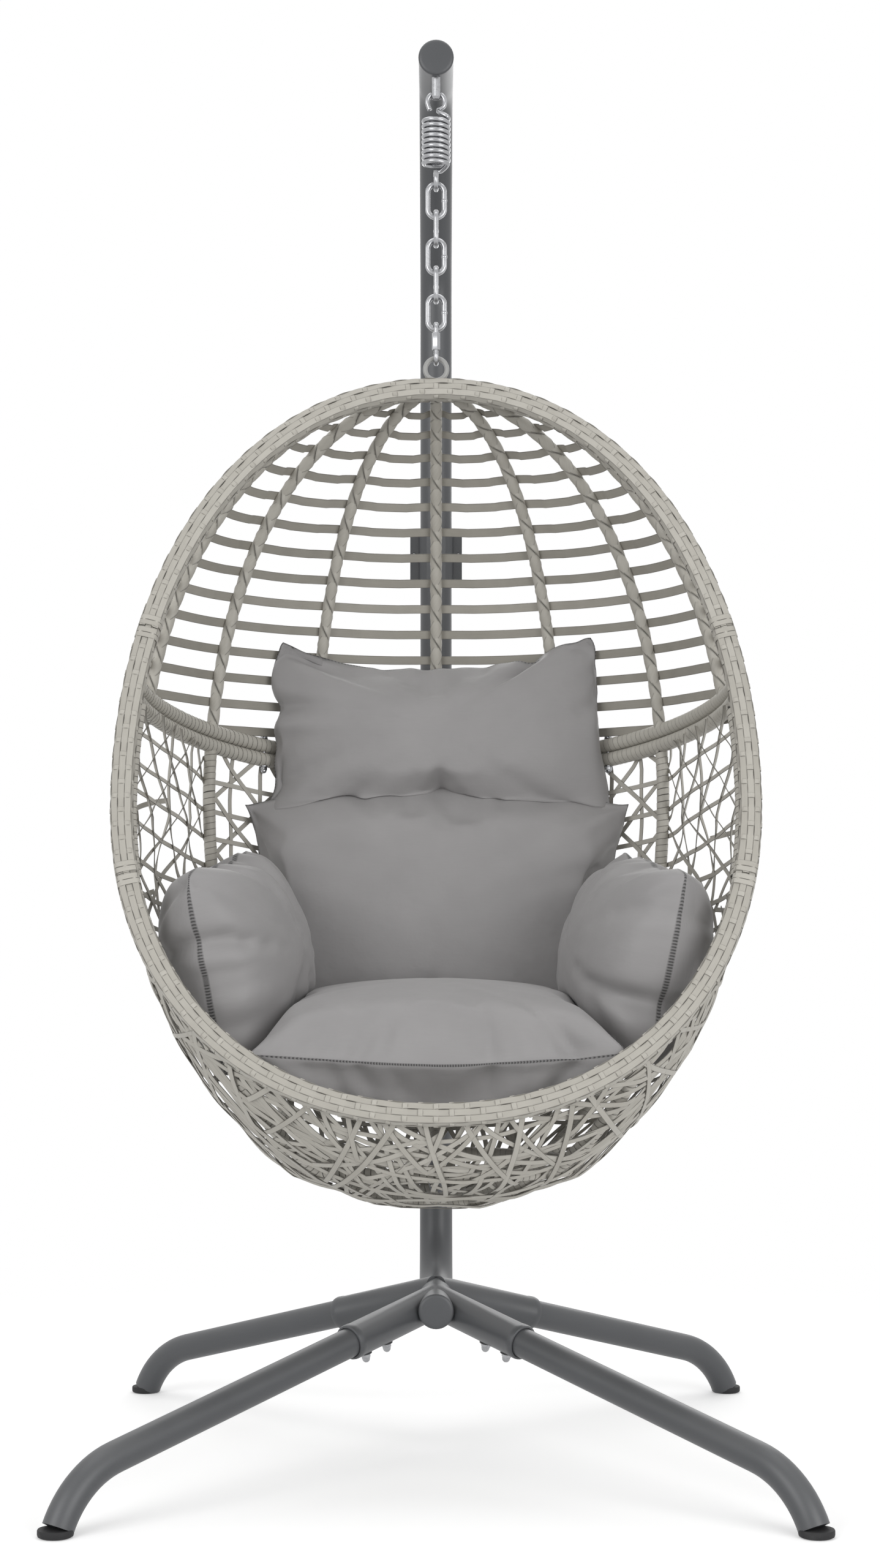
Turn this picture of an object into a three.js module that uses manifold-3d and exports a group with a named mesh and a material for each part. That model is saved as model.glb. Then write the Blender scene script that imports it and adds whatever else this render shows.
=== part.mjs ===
// A hanging egg chair: a bent steel pole on four legs, a spring and chain, and a woven basket with cushions.
// Millimetres, +Z up. The front of the chair faces -Y. The origin is on the floor, midway between the four feet.
import * as THREE from "three";
import { mergeVertices } from "three/addons/utils/BufferGeometryUtils.js";
import Module from "manifold-3d";

// ---- Driving dimensions ----
const CLEARANCE = 0.3; // between touching pieces

const POLE_RADIUS = 24;
const POLE_WALL = 2;
const POLE_REAR_Y = 365; // the upright part of the pole
const POLE_FRONT_Y = -12; // where the top end stops
const TOP_BEND_RADIUS = 120;
const TOP_SLOPE_LENGTH = 200; // the straight stretch at 45 degrees
const POLE_JOINT_Z = 1297; // where the upper pole meets the lower one
const NECK_LENGTH = 90; // the swaged neck inside the upper pole
const LOWER_STRAIGHT = 250;
const LOWER_LEAN_DEG = 10;
const LOWER_LEAN_RADIUS = 1200;
const HUB_BEND_RADIUS = 110;
const HUB_Z = 200; // centreline of the level bottom end
const HUB_FRONT_Y = -14;
const CAP_THICKNESS = 6;
const CAP_LIP = 0.4; // how far a pole cap stands over the tube

const CLAMP_HEIGHT = 78;
const CLAMP_WALL = 4;
const CLAMP_FLANGE = 11; // how far each flange reaches past the shell
const CLAMP_GAP = 6; // between the two half shells
const CLAMP_BOLT_RADIUS = 4;

const SOCKET_RADIUS = 23.5;
const SOCKET_REACH = 180; // from the hub line to the socket's mouth
const SOCKET_FRONT_Y = 50;
const SOCKET_REAR_Y = 130;
const SOCKET_Z = 205;
const LEG_RADIUS = 20;
const LEG_WALL = 1.8;
const LEG_INSERT = 85; // length of leg inside its socket
const LEG_BEND_RADIUS = 126;
const FOOT_SPREAD = 455; // foot centre from the middle, both ways
const FOOT_FLARE_DEG = 20; // from the vertical
const FOOT_CAP_HEIGHT = 9;
const FOOT_CAP_RADIUS = 22;
const LEG_BOLT_REACH = [110, 152];

const HOOK_Y = 0; // the line that the basket hangs on
const EYELET_RADIUS = 8;
const EYELET_LENGTH = 29;
const EYELET_HOLE_RADIUS = 5.4;
const EYELET_FLAT = 5.8; // half width between its two flats
const EYELET_HOLE_UP = 8.5; // hole centre above the eyelet's lower end

const SPRING_WIRE_RADIUS = 3.2;
const SPRING_RADIUS = 17; // middle of the wire
const SPRING_TURNS = 9;
const SPRING_PITCH = 7.2;
const SPRING_HOOK_RADIUS = 12;
const TOP_SHANK = 11; // from the top hook down to the first coil
const LOW_SHANK = 21; // from the last coil down to the middle of the low hook

const LINK_WIRE_RADIUS = 3.5;
const LINK_WIDTH = 23; // between the middles of the two limbs
const LINK_LENGTH = 46; // between the middles of the two bows
const LINK_COUNT = 5;
const QUICK_WIRE_RADIUS = 3.2;
const QUICK_WIDTH = 17;
const QUICK_LENGTH = 54;
const SLEEVE_RADIUS = 6;
const SLEEVE_LENGTH = 24;
const SLEEVE_LOW = 8; // sleeve's lower end above the middle of the lower bow

const RIM_WIDTH = 30; // in the plane of the rim
const RIM_DEPTH = 22; // across that plane
const RIM_TOP_Z = 1472;
const RIM_TOP_Y = 0;
const RIM_BOTTOM_Z = 496;
const RIM_SLOPE = 0.359; // how far the rim comes forward for each millimetre down
const WIDEST_Z = 915;
const BODY_HALF_WIDTH = 408; // to the middle of the frame tubes
const BODY_BACK_Y = 256;
const BODY_BOTTOM_Z = 364;
const BODY_BOTTOM_BEHIND = 277.8; // centre of the lowest section behind the rim's plane
const FRONT_FULLNESS = 0.766; // front half depth as a share of the half width
const TOP_POWER = 2.1;
const BOTTOM_POWER = 2.2;
const BACK_POWER = 2;
const RIM_SEAM_Z = [1125, 795];

const RING_TUBE_RADIUS = 10.5;
const RING_SIDE_Z = 1048; // where the ring joint meets the rim
const RING_DROP = 0.21; // fall of the ring joint for each millimetre back
const RIB_TUBE_RADIUS = 9;
const DOME_RIB_DEG = [-77, -52, -26, 0, 26, 52, 77];
const STRAP_COUNT = 15;
const STRAP_WIDTH = 12.5;
const STRAP_THICKNESS = 2.4;
const LOWER_RIB_DEG = 52;
const FRONT_RIB_DEG = 128;
const FRONT_RIB_DROP = 150; // from the widest level down to the front ribs' heads, inside the rim
const HOOP_Z = 412;
const WEAVE_WIDTH = 8;
const WEAVE_THICKNESS = 2.4;
const WEAVE_BITE = 140; // longest straight stretch of a strip on the curved side
const POST_RADIUS = 8.5;
const LIFT_RING_RADIUS = 15; // middle of the wire
const LIFT_RING_WIRE = 3.3;
const LIFT_RING_UP = 27.9; // middle of the lifting ring above the rim's top line

// The hanger's loops hang wire on wire, so their lengths set how far the pole stands over the rim.
const hangDrop = (wireAbove, wire, length) => length - wireAbove - wire - CLEARANCE;
const eyeletDrop = POLE_RADIUS + CLEARANCE + EYELET_LENGTH - EYELET_HOLE_UP - CLEARANCE;
const springDrop = 3 * SPRING_HOOK_RADIUS + TOP_SHANK + SPRING_TURNS * SPRING_PITCH + LOW_SHANK;
const chainDrop = hangDrop(SPRING_WIRE_RADIUS, LINK_WIRE_RADIUS, LINK_LENGTH)
  + (LINK_COUNT - 1) * hangDrop(LINK_WIRE_RADIUS, LINK_WIRE_RADIUS, LINK_LENGTH)
  + hangDrop(LINK_WIRE_RADIUS, QUICK_WIRE_RADIUS, QUICK_LENGTH);
const ringLift = LIFT_RING_RADIUS - QUICK_WIRE_RADIUS - LIFT_RING_WIRE - CLEARANCE;
const POLE_TOP_Z = RIM_TOP_Z + LIFT_RING_UP + ringLift + chainDrop + springDrop + eyeletDrop; // level top end

// ---- Finishes ----
const finish = (color, roughness, metalness) =>
  new THREE.MeshStandardMaterial({ color, roughness, metalness });
const STEEL_PAINT = finish(0x4b4d50, 0.42, 0.3);
const BLACK_RUBBER = finish(0x1d1e1f, 0.8, 0);
const ZINC = finish(0xcfd1d3, 0.25, 1);
const WICKER = finish(0xb2b0a6, 0.6, 0);
const CLOTH = finish(0x969494, 0.5, 0);

// ---- Solid operations ----
const wasm = await Module();
wasm.setup();
const V = (x, y, z) => new THREE.Vector3(x, y, z);
const radians = THREE.MathUtils.degToRad;
const RIGHT = V(1, 0, 0);
const BACK = V(0, 1, 0);
const UP = V(0, 0, 1);
const FAR = 2000; // longer than any piece that a cut goes through

function toSolid(geometry) {
  const plain = new THREE.BufferGeometry();
  const source = geometry.index ? geometry.toNonIndexed() : geometry;
  plain.setAttribute("position", source.getAttribute("position"));
  const merged = mergeVertices(plain, 1e-3);
  return new wasm.Manifold(
    new wasm.Mesh({
      numProp: 3,
      vertProperties: new Float32Array(merged.attributes.position.array),
      triVerts: new Uint32Array(merged.index.array),
    }),
  );
}

function toGeometry(solid) {
  const mesh = solid.getMesh();
  const geometry = new THREE.BufferGeometry();
  geometry.setAttribute("position", new THREE.BufferAttribute(mesh.vertProperties, 3));
  geometry.setIndex(new THREE.BufferAttribute(mesh.triVerts, 1));
  geometry.computeVertexNormals();
  return geometry;
}

// Keeps the main body of a cut solid and drops the crumbs that a cut leaves beside it.
function mainBody(solid) {
  return solid.decompose().sort((a, b) => b.volume() - a.volume())[0];
}

const joinAll = (solids) => solids.reduce((whole, piece) => whole.add(piece));
const cutAll = (solid, cutters) => cutters.reduce((left, cutter) => left.subtract(cutter), solid);

const group = new THREE.Group();

function addMesh(name, shape, material) {
  const geometry = shape.isBufferGeometry ? shape : toGeometry(shape);
  const mesh = new THREE.Mesh(geometry, material);
  mesh.name = name;
  group.add(mesh);
  return mesh;
}

// ---- Shape helpers ----
// Rings of points joined into one closed skin; flat fans close the ends unless the rings form a loop.
function skin(rings, looped = false) {
  const sides = rings[0].length;
  const points = rings.flat();
  const faces = [];
  const count = rings.length;
  for (let i = 0; i < (looped ? count : count - 1); i++) {
    const next = (i + 1) % count;
    for (let j = 0; j < sides; j++) {
      const k = (j + 1) % sides;
      faces.push(i * sides + j, i * sides + k, next * sides + k);
      faces.push(i * sides + j, next * sides + k, next * sides + j);
    }
  }
  if (!looped && sides === 4) {
    const last = points.length - sides;
    faces.push(2, 1, 0, 3, 2, 0, last, last + 1, last + 2, last, last + 2, last + 3);
  } else if (!looped) {
    for (const [end, turn] of [[0, 1], [count - 1, -1]]) {
      const middle = points.length;
      points.push(rings[end].reduce((sum, p) => sum.add(p), V(0, 0, 0)).divideScalar(sides));
      for (let j = 0; j < sides; j++) {
        const a = end * sides + j;
        const b = end * sides + ((j + 1) % sides);
        faces.push(middle, ...(turn > 0 ? [b, a] : [a, b]));
      }
    }
  }
  const geometry = new THREE.BufferGeometry().setFromPoints(points);
  geometry.setIndex(faces);
  const solid = toSolid(geometry);
  return solid.volume() > 0 ? solid : toSolid(geometry.setIndex(faces.reverse()));
}

// A round bar along points.
function barAlong(points, radius, sides, looped = false) {
  const count = points.length;
  let normal = null;
  const rings = points.map((point, i) => {
    const before = looped ? points[(i + count - 1) % count] : points[Math.max(i - 1, 0)];
    const after = looped ? points[(i + 1) % count] : points[Math.min(i + 1, count - 1)];
    const along = after.clone().sub(before).normalize();
    if (!normal) {
      normal = Math.abs(along.z) < 0.9 ? V(0, 0, 1) : V(0, 1, 0);
    }
    normal = normal.clone().addScaledVector(along, -normal.dot(along)).normalize();
    const side = along.clone().cross(normal);
    return Array.from({ length: sides }, (_, j) => {
      const turn = (2 * Math.PI * j) / sides;
      return point.clone()
        .addScaledVector(normal, radius * Math.cos(turn))
        .addScaledVector(side, radius * Math.sin(turn));
    });
  });
  return skin(rings, looped);
}

// A flat band along points, with its face turned to "outward" at each point.
function bandAlong(points, outward, width, thickness) {
  const count = points.length;
  const rings = points.map((point, i) => {
    const along = points[Math.min(i + 1, count - 1)].clone().sub(points[Math.max(i - 1, 0)]).normalize();
    const face = outward[i].clone().addScaledVector(along, -outward[i].dot(along)).normalize();
    const side = along.clone().cross(face);
    return [[1, 1], [-1, 1], [-1, -1], [1, -1]].map(([f, s]) => point.clone()
      .addScaledVector(face, (f * thickness) / 2)
      .addScaledVector(side, (s * width) / 2));
  });
  return skin(rings);
}

// A path of straights and bends in the upright plane through "heading". Tilt is measured down from level.
class BentPath extends THREE.Curve {
  constructor(start, heading, tilt, pieces) {
    super();
    this.points = [start.clone()];
    let angle = tilt;
    const here = start.clone();
    const move = (length) => {
      here.addScaledVector(heading, length * Math.cos(angle));
      here.z -= length * Math.sin(angle);
      this.points.push(here.clone());
    };
    for (const { straight, turn, radius, bites = 5 } of pieces) {
      if (straight) {
        move(straight);
        continue;
      }
      const bite = turn / bites;
      const chord = 2 * radius * Math.sin(Math.abs(bite) / 2);
      for (let i = 0; i < bites; i++) {
        angle += bite / 2;
        move(chord);
        angle += bite / 2;
      }
    }
  }
  get end() {
    return this.points[this.points.length - 1];
  }
}

// A tube that has one ring of corners at each point of a bent path.
function bentTube(path, radius, wall, sides) {
  const outer = barAlong(path.points, radius, sides);
  if (!wall) {
    return outer;
  }
  const reach = path.points.map((p) => p.clone());
  const last = reach.length - 1;
  reach[0].add(reach[0].clone().sub(reach[1]).setLength(1));
  reach[last].add(reach[last].clone().sub(reach[last - 1]).setLength(1));
  return outer.subtract(barAlong(reach, radius - wall, sides));
}

// A round piece turned about the line from a point along a direction: pairs of [radius, distance].
function turned(origin, direction, profile, sides) {
  const lathe = new THREE.LatheGeometry(profile.map(([r, d]) => new THREE.Vector2(r, d)), sides);
  lathe.applyQuaternion(new THREE.Quaternion().setFromUnitVectors(V(0, 1, 0), direction.clone().normalize()));
  lathe.translate(origin.x, origin.y, origin.z);
  return toSolid(lathe);
}

const plainBar = (origin, direction, radius, from, to, sides) =>
  turned(origin, direction, [[0, from], [radius, from], [radius, to], [0, to]], sides);

// The radius of a round hole with flat sides that still clears a bar of the given radius.
const holeRadius = (radius, sides) => (radius + CLEARANCE) / Math.cos(Math.PI / sides);

// Everything beyond a plane, on the side that "direction" points to.
function beyond(point, direction) {
  const box = new THREE.BoxGeometry(2 * FAR, 2 * FAR, 2 * FAR);
  box.translate(0, 0, FAR);
  box.applyQuaternion(new THREE.Quaternion().setFromUnitVectors(UP, direction.clone().normalize()));
  box.translate(point.x, point.y, point.z);
  return toSolid(box);
}

function block(low, high) {
  const box = new THREE.BoxGeometry(high.x - low.x, high.y - low.y, high.z - low.z);
  box.translate((low.x + high.x) / 2, (low.y + high.y) / 2, (low.z + high.z) / 2);
  return toSolid(box);
}

// ---- Stand ----
const POLE_SIDES = 14;
const LEG_SIDES = 10;

function upperPole() {
  const slopeDrop = TOP_SLOPE_LENGTH * Math.SQRT1_2;
  const upright = POLE_TOP_Z - TOP_BEND_RADIUS - slopeDrop - POLE_JOINT_Z - CLEARANCE;
  const level = POLE_REAR_Y - TOP_BEND_RADIUS - slopeDrop - POLE_FRONT_Y;
  const path = new BentPath(V(0, POLE_FRONT_Y, POLE_TOP_Z), BACK, 0, [
    { straight: level },
    { turn: radians(45), radius: TOP_BEND_RADIUS },
    { straight: TOP_SLOPE_LENGTH },
    { turn: radians(45), radius: TOP_BEND_RADIUS },
    { straight: upright },
  ]);
  return bentTube(path, POLE_RADIUS, POLE_WALL, POLE_SIDES);
}

function lowerPole() {
  const lean = radians(LOWER_LEAN_DEG);
  const start = V(0, POLE_REAR_Y, POLE_JOINT_Z);
  const drop = POLE_JOINT_Z - LOWER_STRAIGHT - LOWER_LEAN_RADIUS * Math.sin(lean) - HUB_Z;
  const slanted = (drop - HUB_BEND_RADIUS * (1 - Math.sin(lean))) / Math.cos(lean);
  const bends = [
    { straight: LOWER_STRAIGHT },
    { turn: -lean, radius: LOWER_LEAN_RADIUS, bites: 5 },
    { straight: slanted },
    { turn: lean - Math.PI / 2, radius: HUB_BEND_RADIUS },
  ];
  const bendEnd = new BentPath(start, V(0, -1, 0), Math.PI / 2, bends).end;
  const level = { straight: bendEnd.y - HUB_FRONT_Y };
  const path = new BentPath(start, V(0, -1, 0), Math.PI / 2, [...bends, level]);
  return barAlong(path.points, POLE_RADIUS, POLE_SIDES);
}

// A leg with its socket. The slope is found by halving, so that the bend's end lands on the foot cap.
function legLine(sideX, sideY) {
  const root = V(0, sideY < 0 ? SOCKET_FRONT_Y : SOCKET_REAR_Y, SOCKET_Z);
  const foot = V(sideX * FOOT_SPREAD, sideY * FOOT_SPREAD, 0);
  const level = foot.clone().sub(root).setZ(0);
  const distance = level.length();
  const heading = level.normalize();
  const steep = Math.PI / 2 - radians(FOOT_FLARE_DEG);
  let low = 0;
  let high = radians(30);
  let slope = 0;
  let straight = 0;
  for (let i = 0; i < 40; i++) {
    slope = (low + high) / 2;
    const run = distance - LEG_BEND_RADIUS * (Math.sin(steep) - Math.sin(slope));
    straight = run / Math.cos(slope);
    const landing = SOCKET_Z - run * Math.tan(slope) - LEG_BEND_RADIUS * (Math.cos(slope) - Math.cos(steep));
    if (landing > 0) {
      low = slope;
    } else {
      high = slope;
    }
  }
  return { root, foot, heading, slope, straight, turn: steep - slope };
}

const legDirection = ({ heading, slope }) =>
  heading.clone().multiplyScalar(Math.cos(slope)).setZ(-Math.sin(slope));

function legTube(line) {
  const start = SOCKET_REACH - LEG_INSERT;
  const origin = line.root.clone().addScaledVector(legDirection(line), start);
  const path = new BentPath(origin, line.heading, line.slope, [
    { straight: line.straight - start },
    { turn: line.turn, radius: LEG_BEND_RADIUS, bites: 6 },
    { straight: LEG_RADIUS },
  ]);
  const floorCut = beyond(V(0, 0, FOOT_CAP_HEIGHT + CLEARANCE), V(0, 0, -1));
  return mainBody(bentTube(path, LEG_RADIUS, LEG_WALL, LEG_SIDES).subtract(floorCut));
}

// A domed nut, its washer and the bolt's end on the underside of a socket.
function legBolt(line, reach) {
  const along = legDirection(line);
  const down = along.clone().cross(line.heading.clone().cross(UP)).normalize();
  if (down.z > 0) {
    down.negate();
  }
  const seat = line.root.clone().addScaledVector(along, reach);
  const face = SOCKET_RADIUS - 1;
  return turned(seat, down, [
    [0, face], [9, face], [9, face + 4], [6.5, face + 4], [6.5, face + 12], [0, face + 15],
  ], 6);
}

function socketShell(line) {
  const along = legDirection(line);
  return plainBar(line.root, along, SOCKET_RADIUS, 0, SOCKET_REACH, POLE_SIDES);
}

function socketBore(line) {
  const along = legDirection(line);
  const deep = SOCKET_REACH - LEG_INSERT - CLEARANCE;
  return plainBar(line.root, along, holeRadius(LEG_RADIUS, POLE_SIDES), deep, SOCKET_REACH + 1, POLE_SIDES);
}

const LEGS = [["front_left", -1, -1], ["front_right", 1, -1], ["rear_left", -1, 1], ["rear_right", 1, 1]]
  .map(([name, x, y]) => ({ name, line: legLine(x, y) }));

const neckRadius = (POLE_RADIUS - POLE_WALL) * Math.cos(Math.PI / POLE_SIDES) - CLEARANCE;
const neckFoot = V(0, POLE_REAR_Y, POLE_JOINT_Z);
const hub = joinAll([
  lowerPole(),
  plainBar(neckFoot, UP, neckRadius, -10, NECK_LENGTH, POLE_SIDES),
  ...LEGS.map(({ line }) => socketShell(line)),
]);
const nuts = LEGS.flatMap(({ line }) => LEG_BOLT_REACH.map((reach) => legBolt(line, reach)));
const hubBores = LEGS.map(({ line }) => socketBore(line));
addMesh("lower_pole_with_sockets", joinAll([cutAll(hub, hubBores), ...nuts]), STEEL_PAINT);
addMesh("upper_pole", upperPole(), STEEL_PAINT);

for (const { name, line } of LEGS) {
  addMesh("leg_" + name, legTube(line), STEEL_PAINT);
  const cap = turned(line.foot, UP, [
    [0, 0], [FOOT_CAP_RADIUS - 2, 0], [FOOT_CAP_RADIUS, 2],
    [FOOT_CAP_RADIUS, FOOT_CAP_HEIGHT], [0, FOOT_CAP_HEIGHT],
  ], POLE_SIDES);
  addMesh("foot_cap_" + name, cap, BLACK_RUBBER);
}

// A plug cap: a rounded disc over the tube's end.
function poleCap(y, z) {
  const edge = POLE_RADIUS + CAP_LIP;
  return turned(V(0, y - CLEARANCE, z), V(0, -1, 0), [
    [0, 0], [edge, 0], [edge, CAP_THICKNESS - 2], [edge - 3, CAP_THICKNESS], [0, CAP_THICKNESS],
  ], 16);
}
addMesh("pole_top_cap", poleCap(POLE_FRONT_Y, POLE_TOP_Z), STEEL_PAINT);
addMesh("pole_base_cap", poleCap(HUB_FRONT_Y, HUB_Z), STEEL_PAINT);

// ---- Pole clamp: two half shells with flanges, drawn together by two bolts ----
const clampCentre = V(0, POLE_REAR_Y, POLE_JOINT_Z);
const clampInner = holeRadius(POLE_RADIUS, 24);
const clampOuter = clampInner + CLAMP_WALL;
const flangeReach = clampOuter + CLAMP_FLANGE;
const boltX = clampOuter + CLAMP_FLANGE / 2;

function clampHalf(side) {
  const half = CLAMP_HEIGHT / 2;
  const shell = plainBar(clampCentre, UP, clampOuter, -half, half, 24);
  const flange = block(
    V(-flangeReach, POLE_REAR_Y - clampOuter / 3, POLE_JOINT_Z - half),
    V(flangeReach, POLE_REAR_Y + clampOuter / 3, POLE_JOINT_Z + half),
  );
  const bore = plainBar(clampCentre, UP, clampInner, -FAR, FAR, 24);
  const other = beyond(V(0, POLE_REAR_Y + side * (CLAMP_GAP / 2), 0), V(0, -side, 0));
  const holes = [-1, 1].map((x) =>
    plainBar(V(x * boltX, POLE_REAR_Y, POLE_JOINT_Z), BACK, holeRadius(CLAMP_BOLT_RADIUS, 8), -FAR, FAR, 8));
  return cutAll(shell.add(flange), [bore, other, ...holes]);
}
addMesh("clamp_front_shell", clampHalf(-1), STEEL_PAINT);
addMesh("clamp_rear_shell", clampHalf(1), STEEL_PAINT);

const flangeBack = clampOuter / 3 + CLEARANCE;
[["left", -1], ["right", 1]].forEach(([name, x]) => {
  const bolt = turned(V(x * boltX, POLE_REAR_Y, POLE_JOINT_Z), BACK, [
    [0, -flangeBack + 0.5], [CLAMP_BOLT_RADIUS, -flangeBack + 0.5], [CLAMP_BOLT_RADIUS, flangeBack],
    [7, flangeBack], [7, flangeBack + 5], [0, flangeBack + 5],
  ], 8);
  addMesh("clamp_bolt_" + name, bolt, ZINC);
});

// ---- Hanging eyelet under the pole's top end ----
const eyeletTop = POLE_TOP_Z - POLE_RADIUS - CLEARANCE;
const eyeletLow = eyeletTop - EYELET_LENGTH;
const eyeletHoleZ = eyeletLow + EYELET_HOLE_UP;
const eyeletY = HOOK_Y;

function eyelet() {
  const body = turned(V(0, eyeletY, eyeletLow), UP, [
    [0, 0], [EYELET_RADIUS - 2.5, 0], [EYELET_RADIUS, 3],
    [EYELET_RADIUS, EYELET_LENGTH + 4], [0, EYELET_LENGTH + 4],
  ], 16);
  const hole = plainBar(V(0, eyeletY, eyeletHoleZ), RIGHT, EYELET_HOLE_RADIUS, -FAR, FAR, 12);
  const pole = plainBar(V(0, 0, POLE_TOP_Z), BACK, holeRadius(POLE_RADIUS, 24), -FAR, FAR, 24);
  const sides = [-1, 1].map((x) => beyond(V(x * EYELET_FLAT, 0, 0), V(x, 0, 0)));
  return mainBody(cutAll(body, [hole, pole, ...sides]));
}
addMesh("hanging_eyelet", eyelet(), STEEL_PAINT);

// ---- Spring: a hook through the eyelet, a close-wound coil and a hook for the chain, one unbroken wire ----
const WIRE_SIDES = 5;
const TURN_STEPS = 8;
const coilHeight = SPRING_TURNS * SPRING_PITCH;
const topBowZ = eyeletHoleZ + CLEARANCE; // middle of the wire in the eyelet
const topHookZ = topBowZ - SPRING_HOOK_RADIUS;
const coilTopZ = topHookZ - SPRING_HOOK_RADIUS - TOP_SHANK;
const coilLowZ = coilTopZ - coilHeight;
const lowHookZ = coilLowZ - LOW_SHANK;
const lowBowZ = lowHookZ - SPRING_HOOK_RADIUS;

function springPoints() {
  const points = [];
  const reach = (deg) => SPRING_HOOK_RADIUS * Math.cos(radians(deg));
  const rise = (deg) => SPRING_HOOK_RADIUS * Math.sin(radians(deg));
  const topHook = (deg) => V(reach(deg), HOOK_Y, topHookZ + rise(deg));
  const lowHook = (deg) => V(0, HOOK_Y + reach(deg), lowHookZ + rise(deg));
  const tip = topHook(205);
  points.push(tip.clone().add(V(0.35, 0, -1).multiplyScalar(2 * SPRING_WIRE_RADIUS)));
  for (let deg = 205; deg >= -35; deg -= 30) {
    points.push(topHook(deg));
  }
  points.push(V(3, HOOK_Y, topHookZ - 12), V(8, HOOK_Y - 5, coilTopZ + 5.5));
  for (let i = 0; i <= SPRING_TURNS * TURN_STEPS; i++) {
    const turn = (2 * Math.PI * i) / TURN_STEPS - Math.PI / 8;
    points.push(V(
      SPRING_RADIUS * Math.cos(turn), HOOK_Y + SPRING_RADIUS * Math.sin(turn),
      coilTopZ - (SPRING_PITCH * i) / TURN_STEPS));
  }
  points.push(V(7, HOOK_Y + 3, coilLowZ - 6.5), V(0, HOOK_Y + 3, lowHookZ + 13));
  for (let deg = 35; deg >= -205; deg -= 30) {
    points.push(lowHook(deg));
  }
  const lowTip = lowHook(-205);
  points.push(lowTip.clone().add(V(0, 0.35, 1).multiplyScalar(2 * SPRING_WIRE_RADIUS)));
  return points;
}

// The least gap between two stretches of one wire that are not neighbours.
function leastGap(points, radius) {
  let least = Infinity;
  const apart = 4 * radius;
  points.forEach((a, i) => {
    let along = 0;
    for (let j = i + 1; j < points.length; j++) {
      along += points[j].distanceTo(points[j - 1]);
      if (along > apart && j > i + 3) {
        least = Math.min(least, a.distanceTo(points[j]) - 2 * radius);
      }
    }
  });
  return least;
}
const springLine = springPoints();
console.log("spring: least gap to itself " + leastGap(springLine, SPRING_WIRE_RADIUS).toFixed(2) + " mm");
addMesh("suspension_spring", barAlong(springLine, SPRING_WIRE_RADIUS, WIRE_SIDES), ZINC);

// ---- Chain: oval links, each turned a quarter from the last, then the quick link and its threaded sleeve ----
function ovalLoop(topZ, length, width, acrossX, wire, steps, sides) {
  const bow = width / 2;
  const half = steps / 2;
  const points = [];
  for (let i = 0; i < steps; i++) {
    const turn = (Math.PI * (i % half)) / (half - 1) + (i < half ? 0 : Math.PI);
    const middle = i < half ? topZ - bow : topZ - length + bow;
    const across = bow * Math.cos(turn);
    points.push(V(acrossX ? across : 0, HOOK_Y + (acrossX ? 0 : across), middle + bow * Math.sin(turn)));
  }
  return barAlong(points, wire, sides, true);
}

let barZ = lowBowZ; // middle of the bar that the next loop hangs on
let barWire = SPRING_WIRE_RADIUS;
function hangNext(wire, length) {
  const topZ = barZ + barWire + wire + CLEARANCE;
  barZ = topZ - length;
  barWire = wire;
  return topZ;
}
for (let i = 1; i <= LINK_COUNT; i++) {
  const topZ = hangNext(LINK_WIRE_RADIUS, LINK_LENGTH);
  const link = ovalLoop(topZ, LINK_LENGTH, LINK_WIDTH, i % 2 === 1, LINK_WIRE_RADIUS, 20, 5);
  addMesh("chain_link_" + i, link, ZINC);
}
const quickTopZ = hangNext(QUICK_WIRE_RADIUS, QUICK_LENGTH);
addMesh("quick_link", ovalLoop(quickTopZ, QUICK_LENGTH, QUICK_WIDTH, false, QUICK_WIRE_RADIUS, 20, 5), ZINC);

const sleeveZ = barZ + QUICK_WIDTH / 2 + SLEEVE_LOW;
const sleeveFoot = V(0, HOOK_Y - QUICK_WIDTH / 2, sleeveZ);
const sleeveSide = [[0, 0], [SLEEVE_RADIUS, 0], [SLEEVE_RADIUS, SLEEVE_LENGTH], [0, SLEEVE_LENGTH]];
const sleeve = turned(sleeveFoot, UP, sleeveSide, 6)
  .subtract(plainBar(sleeveFoot, UP, holeRadius(QUICK_WIRE_RADIUS, 12), -FAR, FAR, 12));
addMesh("quick_link_sleeve", sleeve, ZINC);

// ---- Basket form ----
// The rim lies in one sloping plane. Behind and below it the body is a stack of level ovals.
const rimY = (z) => RIM_TOP_Y - RIM_SLOPE * (RIM_TOP_Z - z);
const arch = (share, power) => Math.pow(Math.max(0, 1 - Math.pow(share, power)), 1 / power);
const rimBack = V(0, 1, -RIM_SLOPE).normalize();
const widestY = rimY(WIDEST_Z);
const bottomY = rimY(BODY_BOTTOM_Z) + BODY_BOTTOM_BEHIND;

function bodyPoint(z, turn) {
  const above = z >= WIDEST_Z;
  const share = above ? (z - WIDEST_Z) / (RIM_TOP_Z - WIDEST_Z) : (WIDEST_Z - z) / (WIDEST_Z - BODY_BOTTOM_Z);
  const size = arch(share, above ? TOP_POWER : BOTTOM_POWER);
  const half = BODY_HALF_WIDTH * size;
  const centre = above ? rimY(z) : THREE.MathUtils.lerp(widestY, bottomY, share);
  const back = above
    ? BODY_BACK_Y * arch(share, BACK_POWER) - centre
    : (BODY_BACK_Y - centre) * size;
  const front = FRONT_FULLNESS * half;
  const depth = Math.cos(turn) >= 0 ? back : front;
  return V(half * Math.sin(turn), centre + depth * Math.cos(turn), z);
}

function bodyOutward(z, turn) {
  const step = 0.01;
  const around = bodyPoint(z, turn + step).sub(bodyPoint(z, turn - step));
  const above = bodyPoint(Math.min(z + 1, RIM_TOP_Z), turn);
  const rise = above.sub(bodyPoint(Math.max(z - 1, BODY_BOTTOM_Z), turn));
  return rise.cross(around).normalize();
}

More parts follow.
